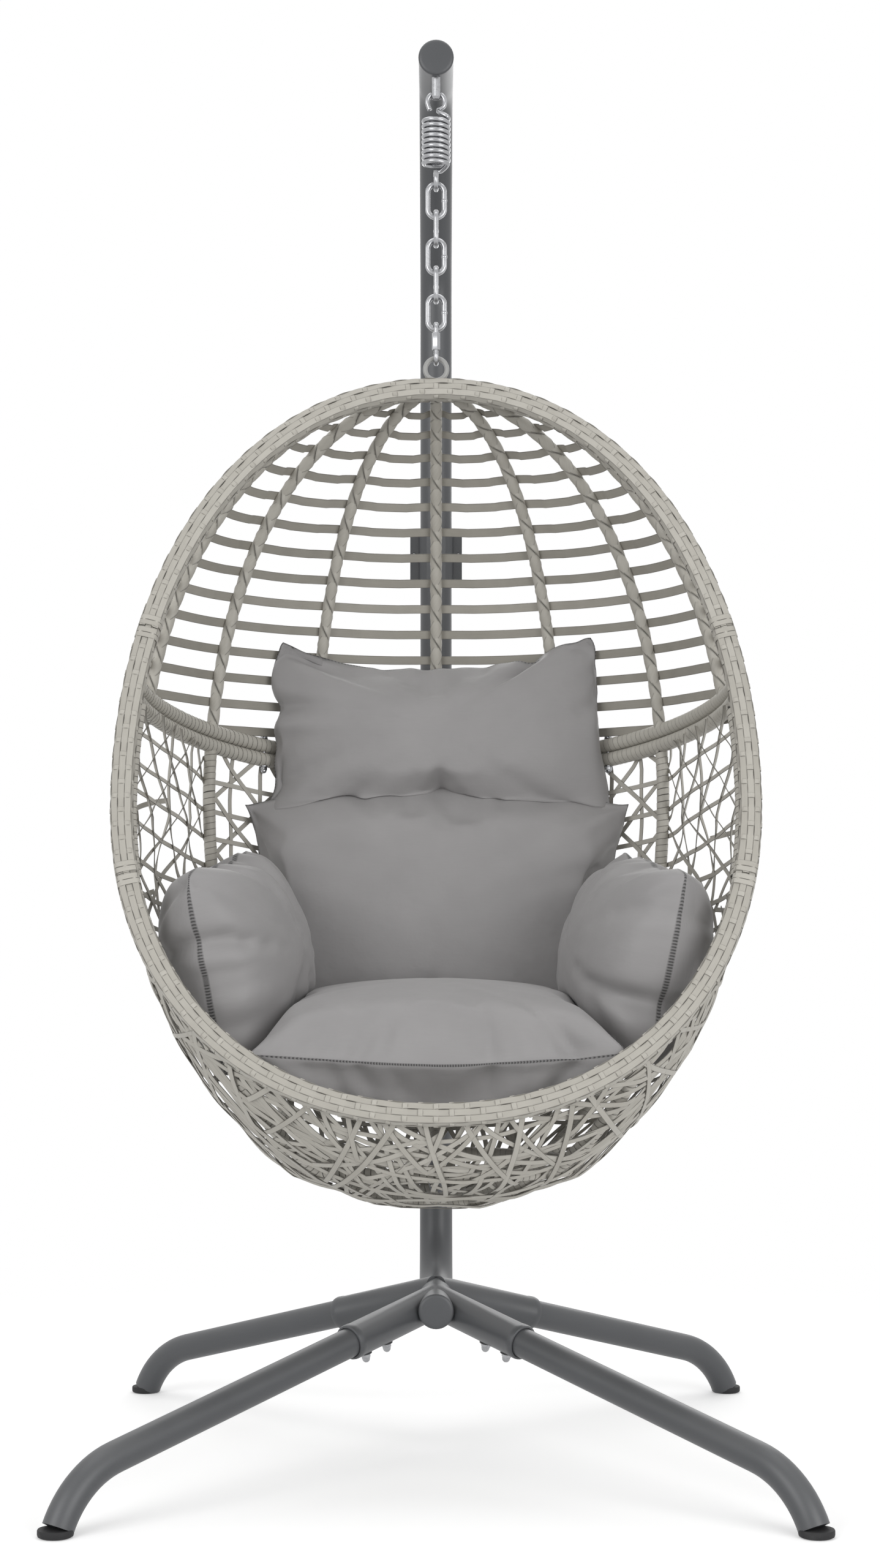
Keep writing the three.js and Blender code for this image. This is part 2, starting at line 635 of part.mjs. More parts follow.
// ---- Rim: four woven lengths laid end to end round the opening ----
const RIM_STEPS = { top: 16, side: 4, bottom: 12 };

function rimPoint(turn) {
  const up = Math.sin(turn) >= 0;
  const power = up ? TOP_POWER : BOTTOM_POWER;
  const reach = up ? RIM_TOP_Z - WIDEST_Z : WIDEST_Z - RIM_BOTTOM_Z;
  const curve = (value) => Math.sign(value) * Math.pow(Math.abs(value), 2 / power);
  const z = WIDEST_Z + reach * curve(Math.sin(turn));
  return V(BODY_HALF_WIDTH * curve(Math.cos(turn)), rimY(z), z);
}

// The angle round the rim at a height, on the right-hand side.
function rimTurn(z) {
  const up = z >= WIDEST_Z;
  const power = up ? TOP_POWER : BOTTOM_POWER;
  const share = up ? (z - WIDEST_Z) / (RIM_TOP_Z - WIDEST_Z) : (WIDEST_Z - z) / (WIDEST_Z - RIM_BOTTOM_Z);
  return (up ? 1 : -1) * Math.asin(Math.pow(share, power / 2));
}

function rimBar(from, to, steps, grow = 0, looped = false) {
  const corner = 6;
  const wide = RIM_WIDTH / 2 + grow;
  const deep = RIM_DEPTH / 2 + grow;
  const outline = [
    [wide, deep - corner], [wide - corner, deep], [corner - wide, deep], [-wide, deep - corner],
    [-wide, corner - deep], [corner - wide, -deep], [wide - corner, -deep], [wide, corner - deep],
  ];
  const count = looped ? steps : steps + 1;
  const rings = Array.from({ length: count }, (_, i) => {
    const turn = from + ((to - from) * i) / steps;
    const along = rimPoint(turn + 1e-3).sub(rimPoint(turn - 1e-3)).normalize();
    const side = along.clone().cross(rimBack);
    return outline.map(([w, d]) => rimPoint(turn).addScaledVector(side, w).addScaledVector(rimBack, -d));
  });
  return skin(rings, looped);
}

const seamTurns = RIM_SEAM_Z.map(rimTurn);
const seamGap = CLEARANCE / 2 / BODY_HALF_WIDTH;
const RIM_LOOP_STEPS = 72;
const rimSpace = rimBar(0, 2 * Math.PI, RIM_LOOP_STEPS, 2 * CLEARANCE, true);

const liftRingZ = barZ + QUICK_WIRE_RADIUS + LIFT_RING_WIRE + CLEARANCE - LIFT_RING_RADIUS;
const LIFT_RING_STEPS = 24;
const liftRing = (wire) => barAlong(Array.from({ length: LIFT_RING_STEPS }, (_, i) => {
  const turn = (2 * Math.PI * i) / LIFT_RING_STEPS;
  return V(LIFT_RING_RADIUS * Math.cos(turn), HOOK_Y, liftRingZ + LIFT_RING_RADIUS * Math.sin(turn));
}), wire, 6, true);
addMesh("lifting_ring", liftRing(LIFT_RING_WIRE), WICKER);

const topArch = rimBar(seamTurns[0] + seamGap, Math.PI - seamTurns[0] - seamGap, RIM_STEPS.top);
addMesh("rim_top", mainBody(topArch.subtract(liftRing(LIFT_RING_WIRE + 2 * CLEARANCE))), WICKER);
const rimLengths = [
  ["rim_right", seamTurns[1], seamTurns[0], RIM_STEPS.side],
  ["rim_left", Math.PI - seamTurns[0], Math.PI - seamTurns[1], RIM_STEPS.side],
  ["rim_bottom", -Math.PI - seamTurns[1], seamTurns[1], RIM_STEPS.bottom],
];
for (const [name, from, to, steps] of rimLengths) {
  addMesh(name, rimBar(from + seamGap, to - seamGap, steps), WICKER);
}

// ---- Ring joint: the dome's lower ring rests on the lower basket's upper ring ----
const ringSideY = rimY(RING_SIDE_Z);
const ringUp = V(0, RING_DROP, 1).normalize();
const RING_STEPS = 16;
const TUBE_SIDES = 6;

// Where a meridian of the body crosses the ring joint's sloping plane, moved along that plane's normal.
function ringPoint(turn, offset) {
  let low = BODY_BOTTOM_Z;
  let high = RIM_TOP_Z;
  for (let i = 0; i < 40; i++) {
    const z = (low + high) / 2;
    if (z < RING_SIDE_Z - RING_DROP * (bodyPoint(z, turn).y - ringSideY)) {
      low = z;
    } else {
      high = z;
    }
  }
  return bodyPoint(low, turn).addScaledVector(ringUp, offset);
}

const ringOffset = RING_TUBE_RADIUS + CLEARANCE / 2;
const ringPlane = V(0, ringSideY, RING_SIDE_Z);
const ringTube = (side, grow) => barAlong(Array.from({ length: RING_STEPS + 1 }, (_, i) =>
  ringPoint(radians(-89 + (178 * i) / RING_STEPS), side * ringOffset)), RING_TUBE_RADIUS + grow, TUBE_SIDES);
const frontOfRim = beyond(V(0, RIM_TOP_Y, RIM_TOP_Z), rimBack.clone().negate());

// Two bolts clamp the rings: a head above, a domed nut below.
const RING_BOLT_DEG = 38;
const RING_BOLT = { shank: 3, head: 5.5, headHeight: 3.5, nut: 5, nutHeight: 5, domeHeight: 4, bite: 0.5 };
function ringBolt(side, grow) {
  const { shank, head, headHeight, nut, nutHeight, domeHeight, bite } = RING_BOLT;
  const reach = 2 * ringOffset;
  return turned(ringPoint(side * radians(RING_BOLT_DEG), 0), ringUp.clone().negate(), [
    [0, -reach - headHeight], [head + grow, -reach - headHeight], [head + grow, -reach + bite],
    [shank + grow, -reach + bite], [shank + grow, reach - bite], [nut + grow, reach - bite],
    [nut + grow, reach + nutHeight], [nut / 2 + grow, reach + nutHeight + domeHeight],
    [0, reach + nutHeight + domeHeight],
  ], 8);
}
const boltSpace = [-1, 1].map((side) => ringBolt(side, 2 * CLEARANCE));
addMesh("dome_ring", mainBody(cutAll(ringTube(1, 0), [rimSpace, ...boltSpace])), WICKER);
addMesh("basket_ring", mainBody(cutAll(ringTube(-1, 0), [rimSpace, ...boltSpace])), WICKER);
addMesh("ring_bolt_left", ringBolt(-1, 0), ZINC);
addMesh("ring_bolt_right", ringBolt(1, 0), ZINC);
const ringSpace = [ringTube(1, 2 * CLEARANCE), ringTube(-1, 2 * CLEARANCE)];
const belowDome = beyond(ringPlane, ringUp.clone().negate());
const aboveBasket = beyond(ringPlane, ringUp);

// ---- Dome: seven braided ribs, each with the flat straps of the bay beside it ----
const RIB_SIDES = 6;
const RIB_STEPS = 7;
const domeZ = (share) => WIDEST_Z + (RIM_TOP_Z - WIDEST_Z) * Math.sin((share * Math.PI) / 2);

function domeRib(turn, grow) {
  const foot = ringPoint(turn, 0).z;
  const start = (Math.asin((foot - WIDEST_Z) / (RIM_TOP_Z - WIDEST_Z)) * 2) / Math.PI;
  const points = Array.from({ length: RIB_STEPS + 1 }, (_, i) =>
    bodyPoint(domeZ(start + ((1 - start) * i) / RIB_STEPS), turn));
  return barAlong(points, RIB_TUBE_RADIUS + grow, RIB_SIDES);
}

// Heights that part the middle rib into equal lengths.
function strapHeights() {
  const samples = 400;
  const foot = ringPoint(0, ringOffset).z;
  const middleRib = Array.from({ length: samples + 1 }, (_, i) => bodyPoint(domeZ(i / samples), 0));
  const line = middleRib.filter((p) => p.z >= foot);
  const total = line.slice(1).reduce((sum, p, i) => sum + p.distanceTo(line[i]), 0);
  const heights = [];
  let along = 0;
  line.slice(1).forEach((p, i) => {
    along += p.distanceTo(line[i]);
    if (along > (total * (heights.length + 1)) / (STRAP_COUNT + 1) && heights.length < STRAP_COUNT) {
      heights.push(p.z);
    }
  });
  return heights;
}

function strap(z, from, to, steps) {
  const turns = Array.from({ length: steps + 1 }, (_, i) => from + ((to - from) * i) / steps);
  const faces = turns.map((t) => bodyOutward(z, t));
  return bandAlong(turns.map((t) => bodyPoint(z, t)), faces, STRAP_WIDTH, STRAP_THICKNESS);
}

// How far round a strap stops short of the next rib's middle.
function ribMargin(z, turn) {
  const around = bodyPoint(z, turn + 0.01).sub(bodyPoint(z, turn - 0.01));
  const rise = bodyPoint(z + 1, turn).sub(bodyPoint(z - 1, turn)).normalize();
  const crossing = around.clone().normalize().cross(rise).length();
  const slant = (STRAP_WIDTH / 2) * Math.sqrt(1 - crossing * crossing);
  return ((RIB_TUBE_RADIUS + 6 * CLEARANCE + slant) / crossing / around.length()) * 0.02;
}

// The straps of the bay from one rib to the next, or to the rim where there is no next rib.
function bayStraps(from, to) {
  const side = Math.sign(to ?? from);
  return STRAP_Z.map((z) => (to === undefined
    ? strap(z, from, side * QUARTER, 1)
    : strap(z, from, to - side * ribMargin(z, to), 2)));
}

const QUARTER = Math.PI / 2;
const STRAP_Z = strapHeights();
const ribTurns = DOME_RIB_DEG.map(radians);
ribTurns.forEach((turn, i) => {
  const straps = [];
  if (turn <= 0) {
    straps.push(...bayStraps(turn, ribTurns[i - 1]));
  }
  if (turn >= 0) {
    straps.push(...bayStraps(turn, ribTurns[i + 1]));
  }
  const isInner = (other) => Math.abs(other) < Math.abs(turn) || (other === -turn && other > turn);
  const innerSpace = ribTurns.filter(isInner).map((other) => domeRib(other, 2 * CLEARANCE));
  const cutters = [rimSpace, frontOfRim, belowDome, ...ringSpace, ...innerSpace];
  const whole = cutAll(joinAll([domeRib(turn, 0), ...straps]), [...cutters, ...boltSpace]);
  addMesh("dome_rib_" + (i + 1), mainBody(whole), WICKER);
});


// ---- Side posts: wrapped tubes that stand behind the side lengths of the rim ----
const POST_LOW_Z = 800;
function sidePost(side, grow) {
  const steps = 5;
  const offset = RIM_DEPTH / 2 + POST_RADIUS + 2 * CLEARANCE;
  const points = Array.from({ length: steps + 1 }, (_, i) => {
    const turn = rimTurn(THREE.MathUtils.lerp(POST_LOW_Z, RING_SIDE_Z, i / steps));
    return rimPoint(side > 0 ? turn : Math.PI - turn).addScaledVector(rimBack, offset);
  });
  return barAlong(points, POST_RADIUS + grow, TUBE_SIDES);
}
addMesh("side_post_left", mainBody(cutAll(sidePost(-1, 0), [...ringSpace, rimSpace])), WICKER);
addMesh("side_post_right", mainBody(cutAll(sidePost(1, 0), [...ringSpace, rimSpace])), WICKER);

// ---- Lower basket: ribs from the ring to a low hoop, crossed bars under the seat, ribs in front ----
const FULL_TURN = 2 * Math.PI;
const HOOP_STEPS = 20;
const hoop = (grow) => barAlong(
  Array.from({ length: HOOP_STEPS }, (_, i) => bodyPoint(HOOP_Z, (FULL_TURN * i) / HOOP_STEPS)),
  RIB_TUBE_RADIUS + grow, TUBE_SIDES, true);

function lowerRib(turn, topZ, grow) {
  const steps = 6;
  const points = Array.from({ length: steps + 1 }, (_, i) => {
    const share = Math.sin((i / steps) * (Math.PI / 2));
    return bodyPoint(THREE.MathUtils.lerp(topZ, HOOP_Z, share), turn);
  });
  return barAlong(points, RIB_TUBE_RADIUS + grow, TUBE_SIDES);
}

function crossBar(turn) {
  const levels = [0, 0.35, 0.7, 0.92].map((share) => THREE.MathUtils.lerp(HOOP_Z, BODY_BOTTOM_Z, share));
  const half = (heading) => levels.map((z) => bodyPoint(z, heading));
  return barAlong([...half(turn), ...half(turn + Math.PI).reverse()], RIB_TUBE_RADIUS, TUBE_SIDES);
}

const hoopSpace = hoop(2 * CLEARANCE);
const backRibs = [["left", -LOWER_RIB_DEG], ["centre", 0], ["right", LOWER_RIB_DEG]];
for (const [name, deg] of backRibs) {
  const turn = radians(deg);
  const rib = lowerRib(turn, ringPoint(turn, 0).z, 0);
  addMesh("lower_rib_" + name, mainBody(cutAll(rib, [...ringSpace, aboveBasket, hoopSpace])), WICKER);
}
const frontTurns = [-1, 1].map((side) => side * radians(FRONT_RIB_DEG));
const frontRib = (turn, grow) => lowerRib(turn, WIDEST_Z - FRONT_RIB_DROP, grow);
const bottomFrame = joinAll([
  hoop(0), crossBar(radians(45)), crossBar(radians(-45)),
  ...frontTurns.map((turn) => mainBody(frontRib(turn, 0).subtract(frontOfRim))),
]);
addMesh("bottom_frame", mainBody(cutAll(bottomFrame, [rimSpace, frontOfRim])), WICKER);

// ---- Open weave: flat strips crossing at many angles between the ribs ----
function weaveStrip(fromTurn, fromZ, toTurn, toZ) {
  const length = bodyPoint(fromZ, fromTurn).distanceTo(bodyPoint(toZ, toTurn));
  const steps = Math.ceil(length / WEAVE_BITE);
  const places = Array.from({ length: steps + 1 }, (_, i) => [
    THREE.MathUtils.lerp(fromTurn, toTurn, i / steps), THREE.MathUtils.lerp(fromZ, toZ, i / steps)]);
  return bandAlong(
    places.map(([turn, z]) => bodyPoint(z, turn)), places.map(([turn, z]) => bodyOutward(z, turn)),
    WEAVE_WIDTH, WEAVE_THICKNESS);
}

// Strips rise from evenly spaced feet to heads in another order, tied together by two strips across.
function weavePanel(fromDeg, toDeg, lowZ, highZ, count, jump) {
  const from = radians(fromDeg);
  const to = radians(toDeg);
  const place = (i) => THREE.MathUtils.lerp(from, to, (i + 0.5) / count);
  const strips = Array.from({ length: count }, (_, i) =>
    weaveStrip(place(i), lowZ, place((i * jump + 2) % count), highZ));
  const level = (share) => THREE.MathUtils.lerp(lowZ, highZ, share);
  strips.push(weaveStrip(from, level(0.18), to, level(0.45)), weaveStrip(from, level(0.78), to, level(0.5)));
  return joinAll(strips);
}

const WEAVE_RISE = 24; // how far strips run on past the tube they end at, before they are cut
const weaveLowZ = HOOP_Z + 4;
const lowerRibSpace = backRibs.map(([, deg]) => radians(deg))
  .map((turn) => lowerRib(turn, ringPoint(turn, 0).z, 2 * CLEARANCE));
const frameSpace = [
  rimSpace, frontOfRim, ...ringSpace, aboveBasket, hoopSpace, ...boltSpace, ...lowerRibSpace,
  ...frontTurns.map((turn) => frontRib(turn, 2 * CLEARANCE)),
  sidePost(-1, 2 * CLEARANCE), sidePost(1, 2 * CLEARANCE),
];
const PANELS = [
  ["back", 0, LOWER_RIB_DEG, RING_SIDE_Z, 4],
  ["side", LOWER_RIB_DEG, FRONT_RIB_DEG, RING_SIDE_Z + 2 * WEAVE_RISE, 5],
  ["front", FRONT_RIB_DEG, 180, RIM_BOTTOM_Z + 6 * WEAVE_RISE, 3],
];
for (const [place, from, to, top, count] of PANELS) {
  for (const [hand, side] of [["left", -1], ["right", 1]]) {
    const panel = weavePanel(side * (from + 1), side * (to - 0.2), weaveLowZ, top, count, 3);
    addMesh("weave_" + place + "_" + hand, mainBody(cutAll(panel, frameSpace)), WICKER);
  }
}

// ---- Cushions: two crowned faces sewn together at an edge that draws in between its corners ----
const INNER_GAP = RIB_TUBE_RADIUS - 5 * CLEARANCE;

// The room inside the basket's frame, as one closed form.
function insideSpace() {
  const levels = 16;
  const around = 28;
  const lowest = HOOP_Z + 16;
  const rings = Array.from({ length: levels + 1 }, (_, i) => {
    const z = THREE.MathUtils.lerp(lowest, RIM_TOP_Z - 2 * RIM_DEPTH, i / levels);
    return Array.from({ length: around }, (_, j) => {
      const turn = (FULL_TURN * j) / around;
      return bodyPoint(z, turn).addScaledVector(bodyOutward(z, turn), -INNER_GAP);
    });
  });
  return skin(rings);
}

function cushion(form, grow = 0) {
  const { middle, right, up, width, height, thick, sidePull = 0.06, endPull = 0.08, crown = 0.45 } = form;
  const columns = 10;
  const rows = 8;
  const across = right.clone().normalize();
  const out = across.clone().cross(up).normalize();
  const rise = out.clone().cross(across).normalize();
  const place = (i, j, face) => {
    const s = (2 * i) / columns - 1;
    const t = (2 * j) / rows - 1;
    const x = s * (width / 2 + grow) * (1 - sidePull * (1 - t * t));
    const y = t * (height / 2 + grow) * (1 - endPull * (1 - s * s));
    const swell = Math.pow((1 - s * s) * (1 - t * t), crown) * (thick / 2) + grow;
    return middle.clone()
      .addScaledVector(across, x).addScaledVector(rise, y)
      .addScaledVector(out, face * swell);
  };
  const faces = [];
  const points = [];
  const index = new Map();
  const edge = (i, j) => i === 0 || j === 0 || i === columns || j === rows;
  const corner = (i, j, face) => {
    const key = edge(i, j) && !grow ? i + "," + j : i + "," + j + "," + face;
    if (!index.has(key)) {
      index.set(key, points.length);
      points.push(place(i, j, edge(i, j) && !grow ? 0 : face));
    }
    return index.get(key);
  };
  for (let i = 0; i < columns; i++) {
    for (let j = 0; j < rows; j++) {
      for (const face of [1, -1]) {
        const corners = [[i, j], [i + 1, j], [i + 1, j + 1], [i, j + 1]];
        const [a, b, c, d] = corners.map(([x, y]) => corner(x, y, face));
        faces.push(...(face > 0 ? [a, b, c, a, c, d] : [a, c, b, a, d, c]));
      }
    }
  }
  if (grow) {
    const border = [];
    for (let i = 0; i < columns; i++) border.push([i, 0, i + 1, 0], [i + 1, rows, i, rows]);
    for (let j = 0; j < rows; j++) border.push([columns, j, columns, j + 1], [0, j + 1, 0, j]);
    for (const [i, j, k, l] of border) {
      const [a, b, c, d] = [corner(i, j, 1), corner(k, l, 1), corner(k, l, -1), corner(i, j, -1)];
      faces.push(a, c, b, a, d, c);
    }
  }
  const geometry = new THREE.BufferGeometry().setFromPoints(points);
  const solid = toSolid(geometry.setIndex(faces));
  return solid.volume() > 0 ? solid : toSolid(geometry.setIndex(faces.reverse()));
}

// A place in the basket, as shares of its half width, its depth and the height from its bottom to its widest.
const inBasket = (x, y, z) =>
  V(x * BODY_HALF_WIDTH, y * BODY_BACK_Y, THREE.MathUtils.lerp(BODY_BOTTOM_Z, WIDEST_Z, z));
const armForm = (side) => ({
  middle: inBasket(side * 0.642, -0.344, 0.59), right: V(0.28, -side * 0.96, 0), up: V(side * 0.17, 0, 1),
  width: 0.79 * BODY_HALF_WIDTH, height: 0.69 * BODY_HALF_WIDTH, thick: 0.38 * BODY_HALF_WIDTH,
});
const CUSHIONS = {
  seat: {
    middle: inBasket(0, -0.37, 0.392), right: RIGHT, up: V(0, 1, -0.06),
    width: 1.21 * BODY_HALF_WIDTH, height: 1.15 * BODY_HALF_WIDTH, thick: 0.37 * BODY_HALF_WIDTH,
  },
  arm_left: armForm(-1),
  arm_right: armForm(1),
  back: {
    middle: inBasket(0, 0.54, 0.705), right: RIGHT, up: V(0, 0.06, 1),
    width: 1.4 * BODY_HALF_WIDTH, height: 0.99 * BODY_HALF_WIDTH, thick: 0.33 * BODY_HALF_WIDTH, endPull: 0,
  },
  head: {
    middle: inBasket(0, 0.72, 1.19), right: RIGHT, up: V(0, 0.16, 1), endPull: 0.2,
    width: 1.16 * BODY_HALF_WIDTH, height: 0.69 * BODY_HALF_WIDTH, thick: 0.27 * BODY_HALF_WIDTH,
  },
};
const roomInside = insideSpace();
const rimAround = rimBar(0, 2 * Math.PI, RIM_LOOP_STEPS, 8 * CLEARANCE, true);
const ribsBehind = ribTurns.slice(2, 5).map((turn) => domeRib(turn, 2 * CLEARANCE));
const tubesBehind = [rimAround, ...ringSpace, ...lowerRibSpace, ...ribsBehind];
const laid = [];
for (const [name, form] of Object.entries(CUSHIONS)) {
  const shaped = cutAll(cushion(form).intersect(roomInside), [...laid, ...tubesBehind]);
  addMesh("cushion_" + name, mainBody(shaped), CLOTH);
  laid.push(cushion(form, 2 * CLEARANCE));
}

export default group;
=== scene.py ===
"""A hanging egg chair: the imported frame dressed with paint, zinc, woven resin strip and soft cushions."""
import math

import bpy
import numpy as np
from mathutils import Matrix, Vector
from mathutils.bvhtree import BVHTree


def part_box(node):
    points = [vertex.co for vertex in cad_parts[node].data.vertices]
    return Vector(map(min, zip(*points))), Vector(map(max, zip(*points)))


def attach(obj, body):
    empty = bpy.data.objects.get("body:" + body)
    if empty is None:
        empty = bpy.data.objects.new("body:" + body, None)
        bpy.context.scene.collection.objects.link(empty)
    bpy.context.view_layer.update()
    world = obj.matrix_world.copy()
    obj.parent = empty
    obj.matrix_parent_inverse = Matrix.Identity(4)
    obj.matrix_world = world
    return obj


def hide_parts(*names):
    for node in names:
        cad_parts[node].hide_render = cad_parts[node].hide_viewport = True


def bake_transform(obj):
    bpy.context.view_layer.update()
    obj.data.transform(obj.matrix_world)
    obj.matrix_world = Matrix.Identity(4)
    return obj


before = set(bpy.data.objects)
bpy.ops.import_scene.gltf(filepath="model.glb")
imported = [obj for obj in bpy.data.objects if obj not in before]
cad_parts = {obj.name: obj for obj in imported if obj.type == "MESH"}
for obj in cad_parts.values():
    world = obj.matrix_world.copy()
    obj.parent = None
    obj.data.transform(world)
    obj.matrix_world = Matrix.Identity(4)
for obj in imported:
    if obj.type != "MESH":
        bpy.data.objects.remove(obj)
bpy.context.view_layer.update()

# ---- Camera and studio ----
# The camera stands 3.36 m in front, 0.73 m above the floor, and looks straight ahead. The floor is white
# paper that runs into a white backdrop, and the light comes from four large soft panels.
scene = bpy.context.scene
scene.view_settings.view_transform = "Standard"
EYE_DISTANCE = 3.356
EYE_HEIGHT = 0.726
WHITE = (1.0, 1.0, 1.0, 1.0)


def placed(name, data):
    """A new object in the scene that shows the data."""
    thing = bpy.data.objects.new(name, data)
    scene.collection.objects.link(thing)
    return thing


def mesh_of(name, points, faces):
    mesh = bpy.data.meshes.new(name)
    mesh.from_pydata(np.asarray(points).tolist(), [], faces)
    return mesh


camera_data = bpy.data.cameras.new("camera")
camera_data.sensor_width = 36.0
camera_data.lens = 55.73
camera_data.shift_x = 0.0025
camera_data.shift_y = 0.0926
camera = placed("camera", camera_data)
camera.location = (0.0, -EYE_DISTANCE, EYE_HEIGHT)
camera.rotation_euler = (math.radians(90.0), 0.0, 0.0)
scene.camera = camera


def panel_light(name, place, aim, size, watts):
    data = bpy.data.lights.new(name, "AREA")
    data.shape = "RECTANGLE"
    data.size, data.size_y = size
    data.energy = watts
    lamp = placed(name, data)
    lamp.location = place
    lamp.rotation_euler = (Vector(aim) - Vector(place)).to_track_quat("-Z", "Y").to_euler()


panel_light("key_panel", (-2.3, -2.9, 2.0), (0.0, 0.0, 0.8), (2.2, 2.2), 52.0)
panel_light("fill_panel", (2.2, -2.9, 1.4), (0.0, 0.0, 0.7), (2.4, 2.2), 54.0)
panel_light("top_panel", (0.0, 0.4, 3.6), (0.0, 0.0, 0.6), (2.6, 2.6), 27.0)
panel_light("rear_panel", (0.4, 3.2, 2.2), (0.0, 0.0, 0.9), (2.6, 2.0), 30.0)


class Nodes:
    """Adds shader nodes to a tree in few words."""

    def __init__(self, tree):
        self.tree = tree

    def add(self, kind, inputs=None, **settings):
        node = self.tree.nodes.new("ShaderNode" + kind)
        for key, value in settings.items():
            setattr(node, key, value)
        for key, value in (inputs or {}).items():
            if isinstance(value, bpy.types.NodeSocket):
                self.tree.links.new(value, node.inputs[key])
            else:
                node.inputs[key].default_value = value
        return node

    def math(self, operation, a, b=0.0, clamp=False):
        return self.add("Math", {0: a, 1: b}, operation=operation, use_clamp=clamp).outputs[0]

    def times(self, a, b):
        return self.math("MULTIPLY", a, b)

    def plus(self, a, b):
        return self.math("ADD", a, b)

    def mix(self, share, a, b):
        return self.add("Mix", {0: share, 6: a, 7: b}, data_type="RGBA").outputs[2]

    def noise(self, place, scale, detail=2.0):
        return self.add("TexNoise", {"Vector": place, "Scale": scale, "Detail": detail}).outputs[0]

    def bump(self, height, strength, distance):
        return self.add("Bump", {"Strength": strength, "Distance": distance, "Height": height}).outputs[0]

    def ramp(self, value, *stops):
        node = self.add("ValToRGB", {0: value})
        elements = node.color_ramp.elements
        while len(elements) < len(stops):
            elements.new(0.5)
        for element, (place, level) in zip(elements, stops):
            element.position = place
            element.color = (level, level, level, 1.0)
        return node.outputs[0]


def new_material(name):
    material = bpy.data.materials.new(name)
    material.use_nodes = True
    material.node_tree.nodes.clear()
    return material, Nodes(material.node_tree)


def seen_by_camera(nodes):
    """One for the camera's own rays, mirrored ones too, and nought for the light that falls on things."""
    rays = nodes.add("LightPath").outputs
    seen = nodes.math("MAXIMUM", rays["Is Camera Ray"], rays["Is Glossy Ray"])
    return nodes.math("MAXIMUM", seen, rays["Is Transmission Ray"])


def backdrop_strength(nodes, seen):
    return nodes.plus(nodes.times(seen, 0.58), 0.42)


world = bpy.data.worlds.new("studio_world")
world.use_nodes = True
world.node_tree.nodes.clear()
scene.world = world
sky = Nodes(world.node_tree)
backdrop = sky.add("Background", {0: WHITE, 1: backdrop_strength(sky, seen_by_camera(sky))})
sky.add("OutputWorld", {0: backdrop.outputs[0]})

floor_mesh = mesh_of("floor", [(-14, -14, 0), (14, -14, 0), (14, 14, 0), (-14, 14, 0)], [(0, 1, 2, 3)])
floor = placed("floor", floor_mesh)
floor.location.z = -0.0005
paper, nodes = new_material("floor_paper")
grain = nodes.add("TexNoise", {"Scale": 60.0, "Detail": 3.0}).outputs[0]
paper_colour = nodes.mix(grain, (0.90, 0.90, 0.90, 1.0), (0.93, 0.93, 0.93, 1.0))
matt = nodes.add("BsdfDiffuse", {"Color": paper_colour}).outputs[0]
seen = seen_by_camera(nodes)
glow = nodes.add("Emission", {0: WHITE, 1: nodes.times(seen, 0.3)}).outputs[0]
near_floor = nodes.add("AddShader", {0: matt, 1: glow}).outputs[0]
# further out the paper runs into the white backdrop
far_floor = nodes.add("Emission", {0: WHITE, 1: backdrop_strength(nodes, seen)}).outputs[0]
position = nodes.add("NewGeometry").outputs["Position"]
distance = nodes.add("VectorMath", {0: position}, operation="LENGTH").outputs[1]
away = nodes.add("MapRange", {0: distance, 1: 0.9, 2: 1.7}, interpolation_type="SMOOTHSTEP").outputs[0]
floor_surface = nodes.add("MixShader", {0: away, 1: near_floor, 2: far_floor}).outputs[0]
nodes.add("OutputMaterial", {0: floor_surface})
floor_mesh.materials.append(paper)

# ---- Stand: steel pole, sockets, legs, caps and clamp ----
# Round steel tube bent to shape, with four short sockets welded to the foot of the lower pole. Everything
# is powder coated in satin charcoal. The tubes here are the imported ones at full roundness.


def finished(material, nodes, colour, roughness, normal, more=None):
    """Closes a material with one Principled surface and what its finish needs beside the common values."""
    values = {"Base Color": colour, "Roughness": roughness, "Normal": normal, **(more or {})}
    nodes.add("OutputMaterial", {0: nodes.add("BsdfPrincipled", values).outputs[0]})
    return material


def painted(name, colour, roughness, speck):
    """Powder coat: a faint orange-peel skin, slow drifts of tone and a little dust on what faces up."""
    material, nodes = new_material(name)
    place = nodes.add("TexCoord").outputs["Object"]
    drift = nodes.noise(place, 9.0, 3.0)
    peel = nodes.noise(place, 900.0)
    fleck = nodes.ramp(nodes.noise(place, 2600.0), (0.6, 0.0), (0.74, 1.0))
    facing = nodes.add("SeparateXYZ", {0: nodes.add("NewGeometry").outputs["Normal"]}).outputs[2]
    dust = nodes.times(nodes.math("MAXIMUM", facing, 0.0), nodes.times(drift, 0.16))
    low, high = [(*(c * k for c in colour), 1.0) for k in (0.9, 1.12)]
    tone = nodes.mix(drift, low, high)
    tone = nodes.mix(nodes.times(fleck, speck), tone, (0.34, 0.35, 0.37, 1.0))
    tone = nodes.mix(dust, tone, (0.42, 0.42, 0.41, 1.0))
    rough = nodes.plus(nodes.times(drift, 0.14), roughness - 0.07)
    return finished(material, nodes, tone, rough, nodes.bump(peel, 0.12, 0.0003), {"Specular IOR Level": 0.5})


CHARCOAL = painted("charcoal_powder_coat", (0.072, 0.075, 0.08), 0.42, 0.14)
BLACK = painted("black_steel", (0.012, 0.012, 0.013), 0.5, 0.02)


